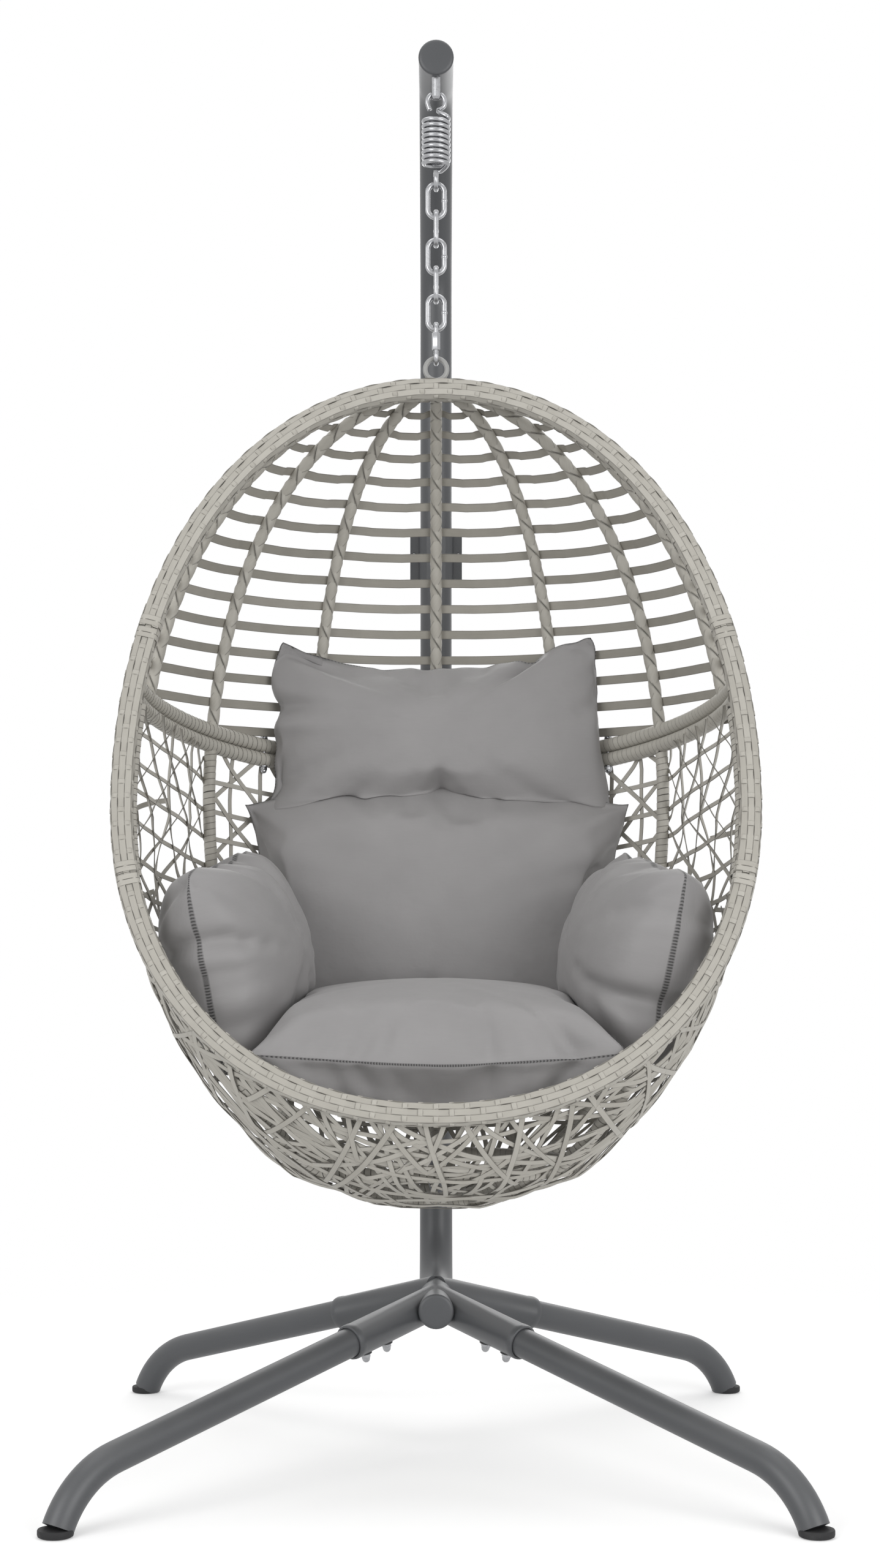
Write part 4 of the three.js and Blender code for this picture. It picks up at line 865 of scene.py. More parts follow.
def woven_band(name, first, last, node, seed):
    line, side, total = rim_length(first, last)
    strips = Strips(seed)
    pitch = total / max(2, round(total / CROSS_PITCH))
    run = np.linspace(0, total, len(line))

    def lay_on(middle, across, place, normal, inset, width, closed=True):
        """Lays a strip that lies the inset under the band's skin."""
        spot = place - normal * np.reshape(inset, (-1, 1))
        points = middle + across * spot[:, :1] - RIM_BACK * spot[:, 1:]
        strips.lay(points, across * normal[:, :1] - RIM_BACK * normal[:, 1:], width, STRIP, closed)

    for k, angle in enumerate(section_angles(LANES)):
        place, normal = rim_section(np.full(len(line), angle))
        wave = np.cos(math.pi * run / pitch + math.pi * k) * 0.0007
        lay_on(line, side, place, normal, STRIP * 1.1 - wave, 0.0087, closed=False)
    loops = int(round(total / pitch))
    place, normal = rim_section(section_angles(60))
    lane = (np.arange(60) + 0.5) / 60 * LANES - 0.5
    for n in range(loops):
        at = (n + 0.5) * pitch
        inset = STRIP * 1.1 + np.cos(math.pi * (lane + n)) * 0.0012
        lay_on(read_at(at, run, line), unit(read_at(at, run, side)), place, normal, inset, 0.0068)
    # a strip wound tight round each end closes the band at its seam
    for at in (2, 5, -3, -6):
        lay_on(line[at], side[at], place, normal, 0.0004, 0.0072)
    outline, normal = rim_section(np.linspace(0, 2 * math.pi, 25)[:-1])
    bar = swept(line, side, np.tile(-RIM_BACK, (len(line), 1)), outline - normal * 0.0032)
    strips.made(name, PALE_WICKER, "basket", [node], [bar])


SEAMS = [rim_turn(1.125), rim_turn(0.795)]
SEAM_GAP = 0.0008
woven_band("rim_band_top", SEAMS[0] + SEAM_GAP, math.pi - SEAMS[0] - SEAM_GAP, "rim_top", 1)
woven_band("rim_band_right", SEAMS[1] + SEAM_GAP, SEAMS[0] - SEAM_GAP, "rim_right", 2)
woven_band("rim_band_left", math.pi - SEAMS[0] + SEAM_GAP, math.pi - SEAMS[1] - SEAM_GAP, "rim_left", 3)
woven_band("rim_band_bottom", -math.pi - SEAMS[1] + SEAM_GAP, SEAMS[1] - SEAM_GAP, "rim_bottom", 4)

# ---- Ring joint and posts: steel tubes wound with strip ----
# The dome's lower ring sits on the basket's upper ring, and two bolts with domed nuts clamp them. A post
# stands behind each side of the rim. Each tube is wound edge to edge with one flat strip.
RING_SIDE_Z = 1.048
RING_DROP = 0.21
RING_TUBE = 0.0105
RING_UP = np.array(Vector((0, RING_DROP, 1)).normalized())


def level_height(level, turn, steps=30):
    """The height at which a meridian of the body meets a plane parallel to the ring's."""
    low, high = np.full(turn.shape, BOTTOM_Z), np.full(turn.shape, RIM_TOP_Z)
    for _ in range(steps):
        z = (low + high) / 2
        under = z < level - RING_DROP * (body_point(z, turn)[..., 1] - rim_y(RING_SIDE_Z))
        low, high = np.where(under, z, low), np.where(under, high, z)
    return low


def ring_point(turn, offset=0.0):
    """Where a meridian of the body meets the ring joint's sloping plane, moved along that plane's normal."""
    turn = np.asarray(turn, float)
    return body_point(level_height(RING_SIDE_Z, turn, 40), turn) + RING_UP * offset


def wound(strips, points, radius, lead=0.0088):
    """Winds one strip round a tube, each turn lapping the last by a hair, and returns the tube inside."""
    points = np.asarray(points, float)
    total = line_length(points)
    line = evenly(points, max(8, int(total / 0.003)))
    run = np.linspace(0, total, len(line))
    steps = int(total / lead * 16)
    at = np.linspace(0, total, steps)
    angle = at / lead * 2 * math.pi + strips.random.uniform(0, 6)
    middle, side, other = [read_at(at, run, values) for values in (line, *carried(line))]
    normal = unit(side * np.cos(angle)[:, None] + other * np.sin(angle)[:, None])
    tilt = unit(normal + headings(middle) * 0.04)
    wander = strips.random.uniform(-0.00015, 0.00015, steps // 16 + 2)
    lift = np.interp(np.arange(steps) / 16, np.arange(len(wander)), wander)
    path = middle + normal * (radius - STRIP * 0.55 + lift)[:, None]
    strips.lay(path, tilt, lead * 0.975, STRIP * 0.9)
    return tube(line, radius - STRIP * 1.15, 12)


def wound_piece(name, lines, node, seed):
    strips = Strips(seed)
    cores = [wound(strips, points, radius) for points, radius in lines]
    return strips.made(name, PALE_WICKER, "basket", [node], cores)


ring_turns = np.radians(np.linspace(-86.3, 86.3, 140))
ring_rise = RING_TUBE + 0.00015
wound_piece("dome_ring_wrap", [(ring_point(ring_turns, ring_rise), RING_TUBE)], "dome_ring", 11)
wound_piece("basket_ring_wrap", [(ring_point(ring_turns, -ring_rise), RING_TUBE)], "basket_ring", 12)

POST_RADIUS = 0.0085
POST_INSET = 0.009
post_offset = RIM_HALF_DEEP + POST_RADIUS + 0.0006
for hand, node in ((1, "side_post_right"), (-1, "side_post_left")):
    heights = np.linspace(0.8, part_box(node)[1].z - 0.003, 24)
    angles = np.array([rim_turn(z) if hand > 0 else math.pi - rim_turn(z) for z in heights])
    line = rim_point(angles) + RIM_BACK * post_offset + np.array((-hand * POST_INSET, 0, 0))
    wound_piece(node + "_wrap", [(line, POST_RADIUS)], node, 13 + hand)

for node, side in (("ring_bolt_left", -1), ("ring_bolt_right", 1)):
    foot = ring_point(math.radians(38.0 * side))
    reach = 2 * ring_rise
    head = turned(foot, -RING_UP, [*raised(-reach, [
        (0.0, -0.0035), (0.0045, -0.0035), (0.0056, -0.002), (0.0058, 0.0006), (0.003, 0.0006)]),
        (0.003, reach - 0.0006)], 24)
    washer = turned(foot, -RING_UP, raised(reach, [
        (0.003, -0.0006), (0.0062, -0.0006), (0.0062, 0.0008), (0.003, 0.0008)]), 28)
    nut = turned(foot, -RING_UP, raised(reach, [
        (0.003, 0.0006), (0.0054, 0.0006), (0.0054, 0.0052), (0.0046, 0.006), (0.001, 0.006)]), 6)
    dome = turned(foot, -RING_UP, raised(reach, [
        (0.0044, 0.005), (0.0043, 0.0068), (0.0034, 0.0086), (0.0018, 0.0096), (0.0, 0.0098)]), 24)
    piece(node + "_nut", joined([head, washer, nut, dome]), ZINC, "basket", [node])

# ---- Dome: braided ribs and flat straps ----
# Seven steel ribs rise from the dome ring to the top of the rim, each braided over with four strips, two
# wound each way. Fifteen flat straps run round outside the ribs, from one side of the rim to the other.
RIB_TUBE = 0.009
DOME_RIBS = [-77, -52, -26, 0, 26, 52, 77]


def dome_z(share):
    return WIDEST_Z + (RIM_TOP_Z - WIDEST_Z) * np.sin(np.asarray(share) * math.pi / 2)


def behind_rim(line):
    """The part of a line that lies behind the rim."""
    return line[line[:, 1] > rim_y(line[:, 2]) + RIM_HALF_DEEP * 0.6]


def rib_line(turn):
    foot = ring_point(turn, ring_rise)[2]
    start = math.asin((foot - WIDEST_Z) / (RIM_TOP_Z - WIDEST_Z)) * 2 / math.pi
    return behind_rim(body_point(dome_z(np.linspace(start, 0.999, 200)), turn))


def braided(strips, points, radius, lead=0.082):
    """Braids four strips over a tube: two wound each way, over and under at every crossing. Each strip bends
    round the tube, and the four cover it."""
    total = line_length(points)
    lead = total / max(1.0, round(total / lead * 2) / 2)
    line = evenly(points, int(total / 0.0022))
    side, other = carried(line)
    run = np.linspace(0, total, len(line))
    girth = 2 * math.pi * (radius - 0.002)
    lean = math.atan2(girth, lead)
    w, t = girth / 4 * math.cos(lean) * 0.985, STRIP / 2
    top = np.array([(w, t * 0.3), (w * 0.95, t), (w * 0.6, t), (w * 0.2, t), (-w * 0.2, t), (-w * 0.6, t),
                    (-w * 0.95, t), (-w, t * 0.3)])
    section = np.concatenate([top[::-1] * (1, -1), top])
    spread = section[:, 0] * math.cos(lean) * 2 * math.pi / girth
    for way in (1, -1):
        for start in (0.0, math.pi):
            angle = (way * run / lead * 2 * math.pi + start)[:, None] - spread
            at = np.clip(run[:, None] + way * section[:, 0] * math.sin(lean), 0, total)
            wave = way * np.cos(4 * math.pi * run / lead) * 0.0009
            reach = (radius - 0.0018 + wave)[:, None] + section[:, 1]
            middle, one, two = [read_at(at, run, values) for values in (line, side, other)]
            outward = one * np.cos(angle)[..., None] + two * np.sin(angle)[..., None]
            rings = middle + outward * reach[..., None]
            strips.parts.append(lofted(rings))
            strips.noted(line, section, w)
    return tube(line, radius - 0.0036, 12)


strap_line = body_point(dome_z(np.linspace(0, 1, 401)), 0.0)
strap_line = strap_line[strap_line[:, 2] >= ring_point(0.0, ring_rise)[2]]
strap_run = run_along(strap_line)
STRAPS = 15
strap_places = strap_run[-1] * np.arange(1, STRAPS + 1) / (STRAPS + 1)
strap_heights = np.interp(strap_places, strap_run, strap_line[:, 2])

for number, degrees in enumerate(DOME_RIBS, 1):
    strips = Strips(20 + number)
    core = braided(strips, rib_line(math.radians(degrees)), RIB_TUBE)
    node = "dome_rib_%d" % number
    strips.made(node + "_braid", PALE_WICKER, "basket", [node], [core])

strips = Strips(31)
for z in strap_heights:
    turns = np.linspace(-math.pi / 2, math.pi / 2, 121)
    points = body_point(z, turns)
    inside = points[:, 1] > rim_y(z) + 0.004
    turns, points = turns[inside], points[inside]
    normals = body_outward(z, turns)
    # the strap lies on the outside of the ribs and sinks a little between them
    near = np.min(np.abs(turns[:, None] - np.radians(DOME_RIBS)[None]), axis=1)
    lift = 0.0072 * np.clip(1 - near / 0.14, 0, 1) ** 0.5 - 0.0005
    strips.lay(points + normals * lift[:, None], normals, 0.0125, 0.0018)
# the straps take the darker wicker copy: painted shade for their shaded inner side
strips.made("dome_straps", SHADED_WICKER, "basket")

# ---- Lower basket: wound ribs, hoop and crossed bars ----
# Five ribs drop from the ring and the rim to a low hoop, and two bars cross under the seat. All are steel
# tubes wound with flat strip like the rings.
HOOP_Z = 0.412
FRONT_RIB = 128
FRONT_RIB_TOP = WIDEST_Z - 0.15


def lower_rib(degrees, top_z):
    share = np.sin(np.linspace(0, math.pi / 2, 60))
    return behind_rim(body_point(top_z + (HOOP_Z - top_z) * share, math.radians(degrees)))


def cross_bar(turn):
    heights = HOOP_Z + (BOTTOM_Z - HOOP_Z) * np.linspace(0, 0.97, 20)
    half = [body_point(heights, t) for t in (turn, turn + math.pi)]
    return np.vstack([half[0], half[1][::-1]])


for node, degrees in (("lower_rib_left", -52), ("lower_rib_centre", 0), ("lower_rib_right", 52)):
    top = float(ring_point(math.radians(degrees), -2 * ring_rise)[2]) + 0.004
    wound_piece(node + "_wrap", [(lower_rib(degrees, top), RIB_TUBE)], node, 40 + degrees % 7)
hoop_line = body_point(HOOP_Z, np.linspace(0, 2 * math.pi, 160))
wound_piece("bottom_frame_wrap", [
    (hoop_line, RIB_TUBE),
    (cross_bar(math.pi / 4), RIB_TUBE),
    (cross_bar(-math.pi / 4), RIB_TUBE),
    (lower_rib(-FRONT_RIB, FRONT_RIB_TOP), RIB_TUBE),
    (lower_rib(FRONT_RIB, FRONT_RIB_TOP), RIB_TUBE),
], "bottom_frame", 47)

# ---- Open weave of the lower basket ----
# Flat strips drawn taut between the ring, the rim, the ribs and the hoop. Rows, uprights and both diagonals
# make an open star pattern. Long and short strips crowd in along the rim's foot, and some cross under
# the seat.
ROW_STEP = 0.0407
POST_TURN = math.radians(52)
HEART = np.array((0.0, rim_y(0.8), 0.8))
RIM_UP = np.array(Vector((0, RIM_SLOPE, 1)).normalized())


def star_line(turn, level):
    """Points of the star pattern and their outward directions. Beside the rim the strips run straight from
    the side post to the nearest rib, inside the round of the body."""
    z = level_height(level, turn)
    points, normals = body_point(z, turn), body_outward(z, turn)
    hand = np.sign(turn)
    outer, inner = hand * math.pi / 2, hand * POST_TURN
    post = body_point(level_height(level, outer), outer) + RIM_BACK * 0.02
    post[:, 0] -= hand * 0.014
    rib = body_point(level_height(level, inner), inner)
    share = np.clip((np.abs(turn) - POST_TURN) / (math.pi / 2 - POST_TURN), 0, 1)
    ease = np.clip((z - 0.80) / 0.08, 0, 1) * np.where(share > 0, 0.9, 0) * (np.abs(turn) < math.pi / 2)
    points = points + (rib + (post - rib) * share[:, None] - points) * ease[:, None]
    # a steep strip is turned on edge where it is tied to the ring, so its face looks out of the opening
    normals = unit(normals + np.stack([np.zeros_like(z), -1.1 * ease, np.zeros_like(z)], -1))
    good = (points[:, 1] > rim_y(z) + 0.012) & (level < RING_SIDE_Z - 0.014) & (z > BOTTOM_Z + 0.004)
    return points, normals, good


def body_place(points, z):
    """Half width and centre of the body at heights z, the points' depth from the centre and the body's own."""
    half, centre, back, front = body_section(z)
    y = points[:, 1] - centre
    return half, centre, y, np.where(y >= 0, back, front)


def met(start, ray, reach=0.8):
    """Where rays from points inside the body meet it, and the outward directions there."""
    low, high = np.zeros(len(start)), np.full(len(start), reach)
    for _ in range(34):
        middle = (low + high) / 2
        spot = start + ray * middle[:, None]
        half, _, y, depth = body_place(spot, np.clip(spot[:, 2], BOTTOM_Z + 1e-4, RIM_TOP_Z - 1e-4))
        inside = (spot[:, 2] > BOTTOM_Z + 1e-4) & ((spot[:, 0] / half) ** 2 + (y / depth) ** 2 < 1)
        low, high = np.where(inside, middle, low), np.where(inside, high, middle)
    half, _, y, depth = body_place(spot, np.clip(spot[:, 2], BOTTOM_Z + 1e-3, RIM_TOP_Z))
    turn = np.arctan2(spot[:, 0] / half, y / depth)
    return start + ray * low[:, None], body_outward(np.clip(spot[:, 2], BOTTOM_Z + 2e-3, RIM_TOP_Z), turn)


def low_line(behind, angle):
    """Points in planes parallel to the rim's, so far behind it. The angle is nought straight down."""
    start = HEART + RIM_BACK * behind[:, None]
    level = np.zeros_like(angle)
    ray = np.stack([np.sin(angle), level, level], -1) - RIM_UP * np.cos(angle)[:, None]
    points, normals = met(start, ray)
    # tied round the rim, the strips are twisted a little towards the front
    return points, unit(normals - np.array((0.0, 0.35, 0.0))), np.ones(len(points), bool)


def over_tubes(points, outs):
    """How far strips stand off the body's skin to pass outside the ribs, the hoop and the crossed bars."""
    half, _, y, depth = body_place(points, np.clip(points[:, 2], BOTTOM_Z + 1e-3, RIM_TOP_Z))
    turn = np.degrees(np.arctan2(points[:, 0] / half, y / depth))
    radius = np.hypot(points[:, 0], y)
    low = points[:, 2] < HOOP_Z
    by_front_rib = ~low & (points[:, 2] < FRONT_RIB_TOP)
    tubes = [(at, ~low) for at in (0, 52, -52)]
    tubes += [(at, by_front_rib) for at in (-FRONT_RIB, FRONT_RIB)]
    tubes += [(at, low) for at in (-135, -45, 45, 135)]
    away = np.full(len(points), 1.0)
    for place, present in tubes:
        gap = np.radians(np.abs((turn - place + 180) % 360 - 180)) * radius
        away = np.minimum(away, np.where(present, gap, 1.0))
    away = np.minimum(away, np.abs(points[:, 2] - HOOP_Z) / np.maximum(0.35, np.sqrt(1 - outs[:, 2] ** 2)))
    return np.maximum(0.0, RIB_TUBE + 0.0012 - 0.13 * away)


def laid(strips, line, width, base, lift=0.0009):
    """Lays a strip along each free stretch of the line, rising and sinking a little as it crosses others."""
    points, normals, good = line
    ends = np.flatnonzero(np.diff(np.concatenate([[0], good.astype(int), [0]])))
    for first, last in zip(ends[::2], ends[1::2]):
        if last - first < 6:
            continue
        part = points[first:last]
        run = run_along(part)
        if run[-1] < 0.035:
            continue
        at = np.linspace(0, run[-1], max(6, int(run[-1] / 0.009)))
        spots, outs = [read_at(at, run, values[first:last]) for values in (points, normals)]
        waves = at / strips.random.uniform(0.08, 0.1) + strips.random.uniform(0, 1)
        wave = lift * np.sin(2 * math.pi * waves)
        outs = unit(outs)
        # both ends are tucked under the strips that they meet
        tucked = 0.0028 * np.clip(1 - np.minimum(at, run[-1] - at) / 0.016, 0, 1)
        base_here = base + over_tubes(spots, outs) - tucked
        strips.lay(spots + outs * (base_here + wave)[:, None], outs, width, 0.0013)


def in_radians(*values):
    return [math.radians(value) for value in values]


# rows, and the long strips that follow the rim's foot
strips = Strips(51)
draw = strips.random.uniform
for k in range(15):
    turn = np.linspace(-1, 1, 500) * (math.pi if k < 5 else 1.75)
    laid(strips, star_line(turn, np.full(500, 0.987 - ROW_STEP * k + draw(-0.002, 0.002))), 0.0067, 0.0)
for k in range(8):
    first, last = -draw(*in_radians(40, 98)), draw(*in_radians(40, 98))
    behind = 0.03 + 0.2 * (k / 8) ** 1.2
    t = np.linspace(0, 1, 260)
    laid(strips, low_line(np.clip(behind + draw(-0.02, 0.02) + draw(-0.2, 0.2) * (t - 0.5), 0.008, 0.3),
                          first + (last - first) * t), draw(0.006, 0.0074), draw(-0.001, 0.0018))
for k in range(20):
    side = 1 if k % 2 else -1
    first, t = draw(*in_radians(40, 100)), np.linspace(0, 1, 160)
    last = first - draw(*in_radians(35, 75))
    behind = draw(0.006, 0.03) + draw(0.06, 0.24) * (t if draw(0, 1) < 0.75 else 1 - t)
    line = low_line(behind, side * (first + (last - first) * t))
    laid(strips, line, draw(0.006, 0.0074), draw(-0.001, 0.0018))
for k in range(10):
    # low slanting strips close under the middle of the rim
    start, t = draw(*in_radians(-52, 52)), np.linspace(0, 1, 120)
    behind = draw(0.006, 0.03) + draw(0.02, 0.11) * t
    lean = draw(*in_radians(14, 34)) * (1 if k % 2 else -1)
    laid(strips, low_line(behind, start + lean * t), draw(0.0062, 0.0076), 0.0012)
WEAVE_NODES = ["weave_%s_%s" % (place, hand)
               for place in ("back", "side", "front") for hand in ("left", "right")]
strips.made("weave_long_strips", PALE_WICKER, "basket", WEAVE_NODES[:2])

# uprights, both diagonals, and the short broad strips that hang from the rim
strips = Strips(52)
draw = strips.random.uniform
t = np.linspace(0, 1, 300)
UPRIGHTS = (7.5, 15, 22.5, 30, 38.5, 46, 60, 72, 97, 106, 150, 165)
for turn in in_radians(*[side * at for side in (-1, 1) for at in UPRIGHTS]):
    turn += draw(-0.01, 0.01)
    laid(strips, star_line(turn + draw(-0.04, 0.04) * t, 1.05 - 0.68 * t), 0.0067, 0.0014)
for way in (1, -1):
    for k in range(24):
        first = math.radians(-118 + 10.6 * k) + draw(-0.01, 0.01)
        turn = first + way * (t - 0.3) * 1.7
        laid(strips, star_line(turn, 1.06 - 0.70 * t), 0.0067, -0.0012 * way)
for k in range(44):
    angle = math.radians(-99 + 4.6 * k) + draw(-0.03, 0.03)
    short = np.linspace(0, 1, 60)
    lean = draw(0.06, 0.3) * (1 if k % 2 else -1)
    line = low_line(0.002 + draw(0.05, 0.2) * short, angle + lean * short)
    laid(strips, line, draw(0.0064, 0.0078), 0.0026, 0.0004)
strips.made("weave_steep_strips", PALE_WICKER, "basket", WEAVE_NODES[2:4])

# strips drawn across under the seat from one side of the hoop to the other
strips = Strips(53)
draw = strips.random.uniform
for k in range(11):
    start = draw(-math.pi, math.pi)
    end = start + draw(1.5, 3.1)
    heart = np.array((0.0, BOTTOM_Y, draw(0.43, 0.5)))
    ends = [body_point(draw(0.40, 0.45), turn) - heart for turn in (start, end)]
    ray = unit(ends[0] + (ends[1] - ends[0]) * np.linspace(0, 1, 120)[:, None])
    points, normals = met(np.tile(heart, (120, 1)), ray)
    free = points[:, 1] > rim_y(points[:, 2]) + 0.012
    laid(strips, (points, normals, free), draw(0.0058, 0.0068), draw(-0.002, 0.001))
strips.made("weave_under_seat", PALE_WICKER, "basket", WEAVE_NODES[4:])

# ---- Cushions: seat, two arms, back and head ----
# Five loose pads of mid grey satin polyester over soft fibre fill. Each is two panels sewn together round
# the edge, so it swells in the middle, draws in along its sides and keeps small ears at its corners.


def satin_cloth():
    """Fine plain-weave polyester: a soft sheen, faint slubs, and a dark line along the seam: stitches, with
    painted shade in the seam's fold.
    """
    material, nodes = new_material("satin_polyester")
    place = nodes.add("Attribute", attribute_name="cloth_place").outputs["Vector"]
    seam = nodes.add("Attribute", attribute_name="cloth_seam").outputs["Vector"]
    sewn = nodes.add("SeparateXYZ", {0: seam})
    flat = nodes.add("SeparateXYZ", {0: place})
    warp, weft = [nodes.math("SINE", nodes.times(flat.outputs[k], 5200.0)) for k in (0, 1)]
    weave = nodes.times(warp, weft)
    slub = nodes.noise(nodes.add("Mapping", {0: place, 3: (40.0, 900.0, 40.0)}).outputs[0], 1.0)
    cloud = nodes.noise(place, 14.0, 3.0)
    rumple = nodes.noise(place, 38.0, 3.0)
    tone = nodes.mix(cloud, (0.275, 0.268, 0.268, 1.0), (0.335, 0.326, 0.326, 1.0))
    tone = nodes.mix(nodes.times(slub, 0.18), tone, (0.21, 0.205, 0.205, 1.0))
    # the dark seam line is partly the stitches and partly painted shade in the fold where the panels meet
    line = nodes.ramp(sewn.outputs[0], (0.86, 0.0), (0.93, 1.0))
    stitches = nodes.math("SINE", nodes.times(sewn.outputs[1], 1500.0))
    dash = nodes.plus(nodes.times(stitches, 0.35), 0.65)
    tone = nodes.mix(nodes.math("MULTIPLY", line, dash, clamp=True), tone, (0.035, 0.034, 0.034, 1.0))
    height = nodes.plus(nodes.times(weave, 0.12), nodes.times(rumple, 5.0))
    height = nodes.math("SUBTRACT", height, nodes.times(line, 3.0))
    return finished(material, nodes, tone, 0.52, nodes.bump(height, 0.35, 0.0006), {
        "Specular IOR Level": 0.35, "Sheen Weight": 0.18, "Sheen Roughness": 0.4})


CLOTH = satin_cloth()


def envelope(width, height, thick, columns, rows, side_pull, end_pull, crown, corner, bend):
    """Two panels joined round their edge. Returns points, faces, each point's flat place and its seam facts.
    The top and bottom edges have pulls of their own, and so have the bends that bring the sides forward."""
    index, points, flat, seam = {}, [], [], []
    perimeter = 2 * (width + height)
    for face in (1, -1):
        for i in range(columns + 1):
            for j in range(rows + 1):
                rim = i in (0, columns) or j in (0, rows)
                if face < 0 and rim:
                    index[i, j, -1] = index[i, j, 1]
                    continue
                s, t = 2 * i / columns - 1, 2 * j / rows - 1
                swell = ((1 - s * s) * (1 - t * t)) ** crown * thick / 2
                index[i, j, face] = len(points)
                pull = end_pull[0] if t > 0 else end_pull[1]
                tuck = 1 - corner[0] * (s * t) ** corner[1]
                points.append((s * width / 2 * (1 - side_pull * (1 - t * t)) * tuck,
                               t * height / 2 * (1 - pull * (1 - s * s)) * tuck,
                               face * swell + s * s * (bend[0] * (1 + t) + bend[1] * (1 - t)) / 2))
                flat.append((s * width / 2, t * height / 2, 3.0 * face))
                run = (math.atan2(t * height, s * width) / (2 * math.pi) + 0.5) * perimeter
                depth = min((1 - abs(s)) * width, (1 - abs(t)) * height) / 2
                seam.append((1.0 if rim else 0.0, run, depth))
    faces = []
    for i in range(columns):
        for j in range(rows):
            for face in (1, -1):
                loop = [index[a, b, face] for a, b in ((i, j), (i + 1, j), (i + 1, j + 1), (i, j + 1))]
                faces.append(loop if face > 0 else loop[::-1])
    return np.array(points), faces, np.array(flat), np.array(seam)


def inflated(points, faces, cap, pressure):
    """The envelope pushed out by its filling, by cloth simulation. No point moves further than the cap."""
    pad = placed("filling", mesh_of("filling", points, faces))
    cloth = pad.modifiers.new("cloth", "CLOTH").settings
    cloth.quality = 6
    cloth.mass = 0.3
    cloth.tension_stiffness = 28
    cloth.compression_stiffness = 22
    cloth.shear_stiffness = 6
    cloth.bending_stiffness = 0.25
    cloth.air_damping = 3
    cloth.use_pressure = True
    cloth.uniform_pressure_force = pressure
    cloth.effector_weights.gravity = 0
    for number in range(1, 21):
        scene.frame_set(number)
    depsgraph = bpy.context.evaluated_depsgraph_get()
    result = pad.evaluated_get(depsgraph).to_mesh()
    moved = np.array([v.co for v in result.vertices])
    pad.evaluated_get(depsgraph).to_mesh_clear()
    bpy.data.objects.remove(pad)
    scene.frame_set(1)
    shift = moved - points
    size = np.linalg.norm(shift, axis=1, keepdims=True)
    return points + shift * np.minimum(1.0, cap / np.maximum(size, 1e-9))


def puckers(seam, seed, size):
    """How far gathers along the seam press each point in: sharp at the stitches, gone a hand's width in."""
    random = np.random.default_rng(seed)
    run, depth = seam[:, 1], seam[:, 2]
    lift = np.zeros(len(seam))
    for wave in (0.19, 0.115, 0.068, 0.041):
        reach = 0.30 * wave + 0.012
        swing = np.sin(2 * math.pi * run / random.uniform(0.3, 0.7) + random.uniform(0, 6))
        strength = np.clip(0.5 + 0.8 * swing, 0, 1)
        phase = run / wave + 0.25 * np.sin(run * 23 + random.uniform(0, 6)) + random.uniform(0, 6)
        phase = phase + depth * random.uniform(-5, 5)
        valley = (1 - np.abs(np.sin(math.pi * phase))) ** 2.4
        lift -= wave ** 0.8 * strength * valley * np.exp(-depth / reach)
    return lift * size * (1 - seam[:, 0] * 0.6)


def room_limited(points, gap=0.0105):
    """Pulls points that would pass through the basket's wall back to its inside."""
    z = np.clip(points[:, 2], HOOP_Z + 0.02, RIM_TOP_Z - 0.02)
    half, centre, y, depth = body_place(points, z)
    reach = np.sqrt((points[:, 0] / half) ** 2 + (y / depth) ** 2)
    limit = 1 - gap / np.minimum(half, depth)
    scale = np.minimum(1.0, limit / np.maximum(reach, 1e-9))
    out = points.copy()
    out[:, 0] *= scale
    out[:, 1] = centre + y * scale
    # under the seat the pad rests on the crossed bars and the hoop
    out[:, 2] = np.maximum(out[:, 2], HOOP_Z + 0.02)
    return out


def kept_apart(points, others, gap=0.002):
    """Moves points that lie inside a finished cushion to its surface."""
    for tree in others:
        for k, point in enumerate(points):
            spot, normal, _, distance = tree.find_nearest(Vector(point), 0.09)
            if spot is None:
                continue
            # beyond a sharp seam the nearest face looks sideways, and the point is outside
            if distance < gap or (Vector(point) - spot).dot(normal) < -0.5 * distance:
                points[k] = spot + normal * gap
    return points


finished_pads = []


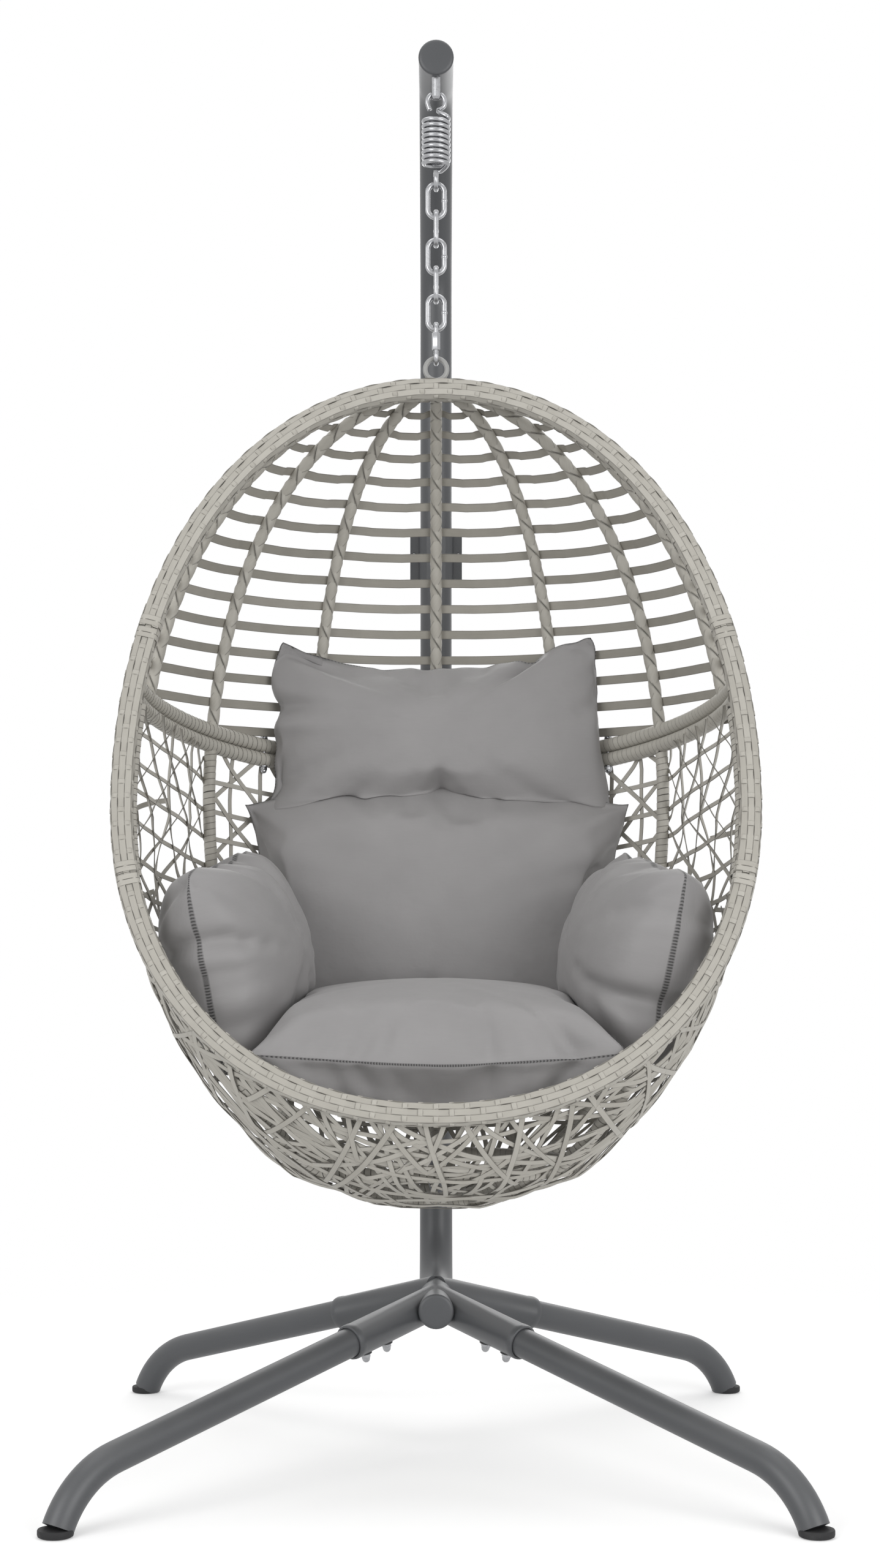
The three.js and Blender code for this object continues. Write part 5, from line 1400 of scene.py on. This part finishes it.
def pad_piece(name, node, middle, right, up, size, pulls, seed,
              crown=0.45, corner=(0.0, 4), bend=(0.0, 0.0), gather=0.12):
    width, height, thick = [share * HALF_WIDTH for share in size]
    columns, rows = int(width / 0.0105), int(height / 0.0105)
    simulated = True
    points, faces, flat, seam = envelope(
        width, height, thick * (0.72 if simulated else 1.0), columns, rows,
        pulls[0] * (0.3 if simulated else 1.0), pulls[1:], crown, corner, bend)
    if simulated:
        points = inflated(points, faces, 0.03, 4.0)
        points[:, 2] *= (thick + max(bend) * 0.5) / np.ptp(points[:, 2])
        for k, full in ((0, width), (1, height)):
            points[:, k] *= full / np.ptp(points[:, k])
    mesh = mesh_of(name, points, faces)
    mesh.update()
    normals = np.array([v.normal for v in mesh.vertices])
    points = points + normals * puckers(seam, seed, gather)[:, None]
    across = Vector(right).normalized()
    out = across.cross(Vector(up)).normalized()
    rise = out.cross(across).normalized()
    turn = np.array([across, rise, out])
    points = np.array(middle) + points @ turn
    points = room_limited(points)
    points = kept_apart(points, finished_pads)
    points = room_limited(points)
    mesh.vertices.foreach_set("co", points.astype(np.float32).ravel())
    for layer_name, values in (("cloth_place", flat), ("cloth_seam", seam)):
        layer = mesh.attributes.new(layer_name, "FLOAT_VECTOR", "POINT")
        layer.data.foreach_set("vector", values.astype(np.float32).ravel())
    crease = mesh.attributes.new("crease_edge", "FLOAT", "EDGE")
    ends = np.array([e.vertices[:] for e in mesh.edges])
    on_seam = seam[ends].min(axis=1)[:, 0] > 0.5
    crease.data.foreach_set("value", np.where(on_seam, 0.75, 0.0).astype(np.float32))
    mesh.update()
    thing = placed(name, mesh)
    smooth = thing.modifiers.new("smooth", "SUBSURF")
    smooth.levels = smooth.render_levels = 1
    fine = bpy.data.meshes.new_from_object(thing.evaluated_get(bpy.context.evaluated_depsgraph_get()))
    thing.modifiers.clear()
    thing.data = fine
    fine.name = name
    fine.shade_smooth()
    fine.materials.clear()
    fine.materials.append(CLOTH)
    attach(thing, "basket")
    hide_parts(node)
    finished_pads.append(BVHTree.FromPolygons([v.co.copy() for v in fine.vertices],
                                              [p.vertices[:] for p in fine.polygons]))


def in_basket(x, y, z):
    """A place in shares of the half width, the depth and the height from the bottom to the widest level."""
    return (x * HALF_WIDTH, y * BACK_Y, BOTTOM_Z + (WIDEST_Z - BOTTOM_Z) * z)


pad_piece("seat_cushion", "cushion_seat", in_basket(0, -0.37, 0.366), (1, 0, 0), (0, 1, 0.05),
          (1.21, 1.15, 0.435), (0.06, 0.08, 0.02), 61, crown=0.62, bend=(0.0, 0.02))
pad_piece("back_cushion", "cushion_back", in_basket(0, 0.54, 0.68), (1, 0, 0), (0, 0.06, 1),
          (1.4, 0.93, 0.33), (0.05, -0.18, 0.0), 66, bend=(0.03, 0.0), gather=0.06)
for side, hand in ((-1, "left"), (1, "right")):
    pad_piece("arm_cushion_" + hand, "cushion_arm_" + hand, in_basket(side * 0.652, -0.37, 0.585),
              (0.19, -side * 0.97, -side * 0.13), (side * 0.17, 0, 1), (0.80, 0.67, 0.47), (0.06, 0.06, 0.06),
              63 + side, corner=(0.09, 4), gather=0.17)
pad_piece("head_cushion", "cushion_head", in_basket(0, 0.70, 1.165), (1, 0, 0), (0, 0.16, 1),
          (1.23, 0.69, 0.27), (0.08, 0.075, -0.05), 67, corner=(0.06, 8), bend=(0.04, 0.03))
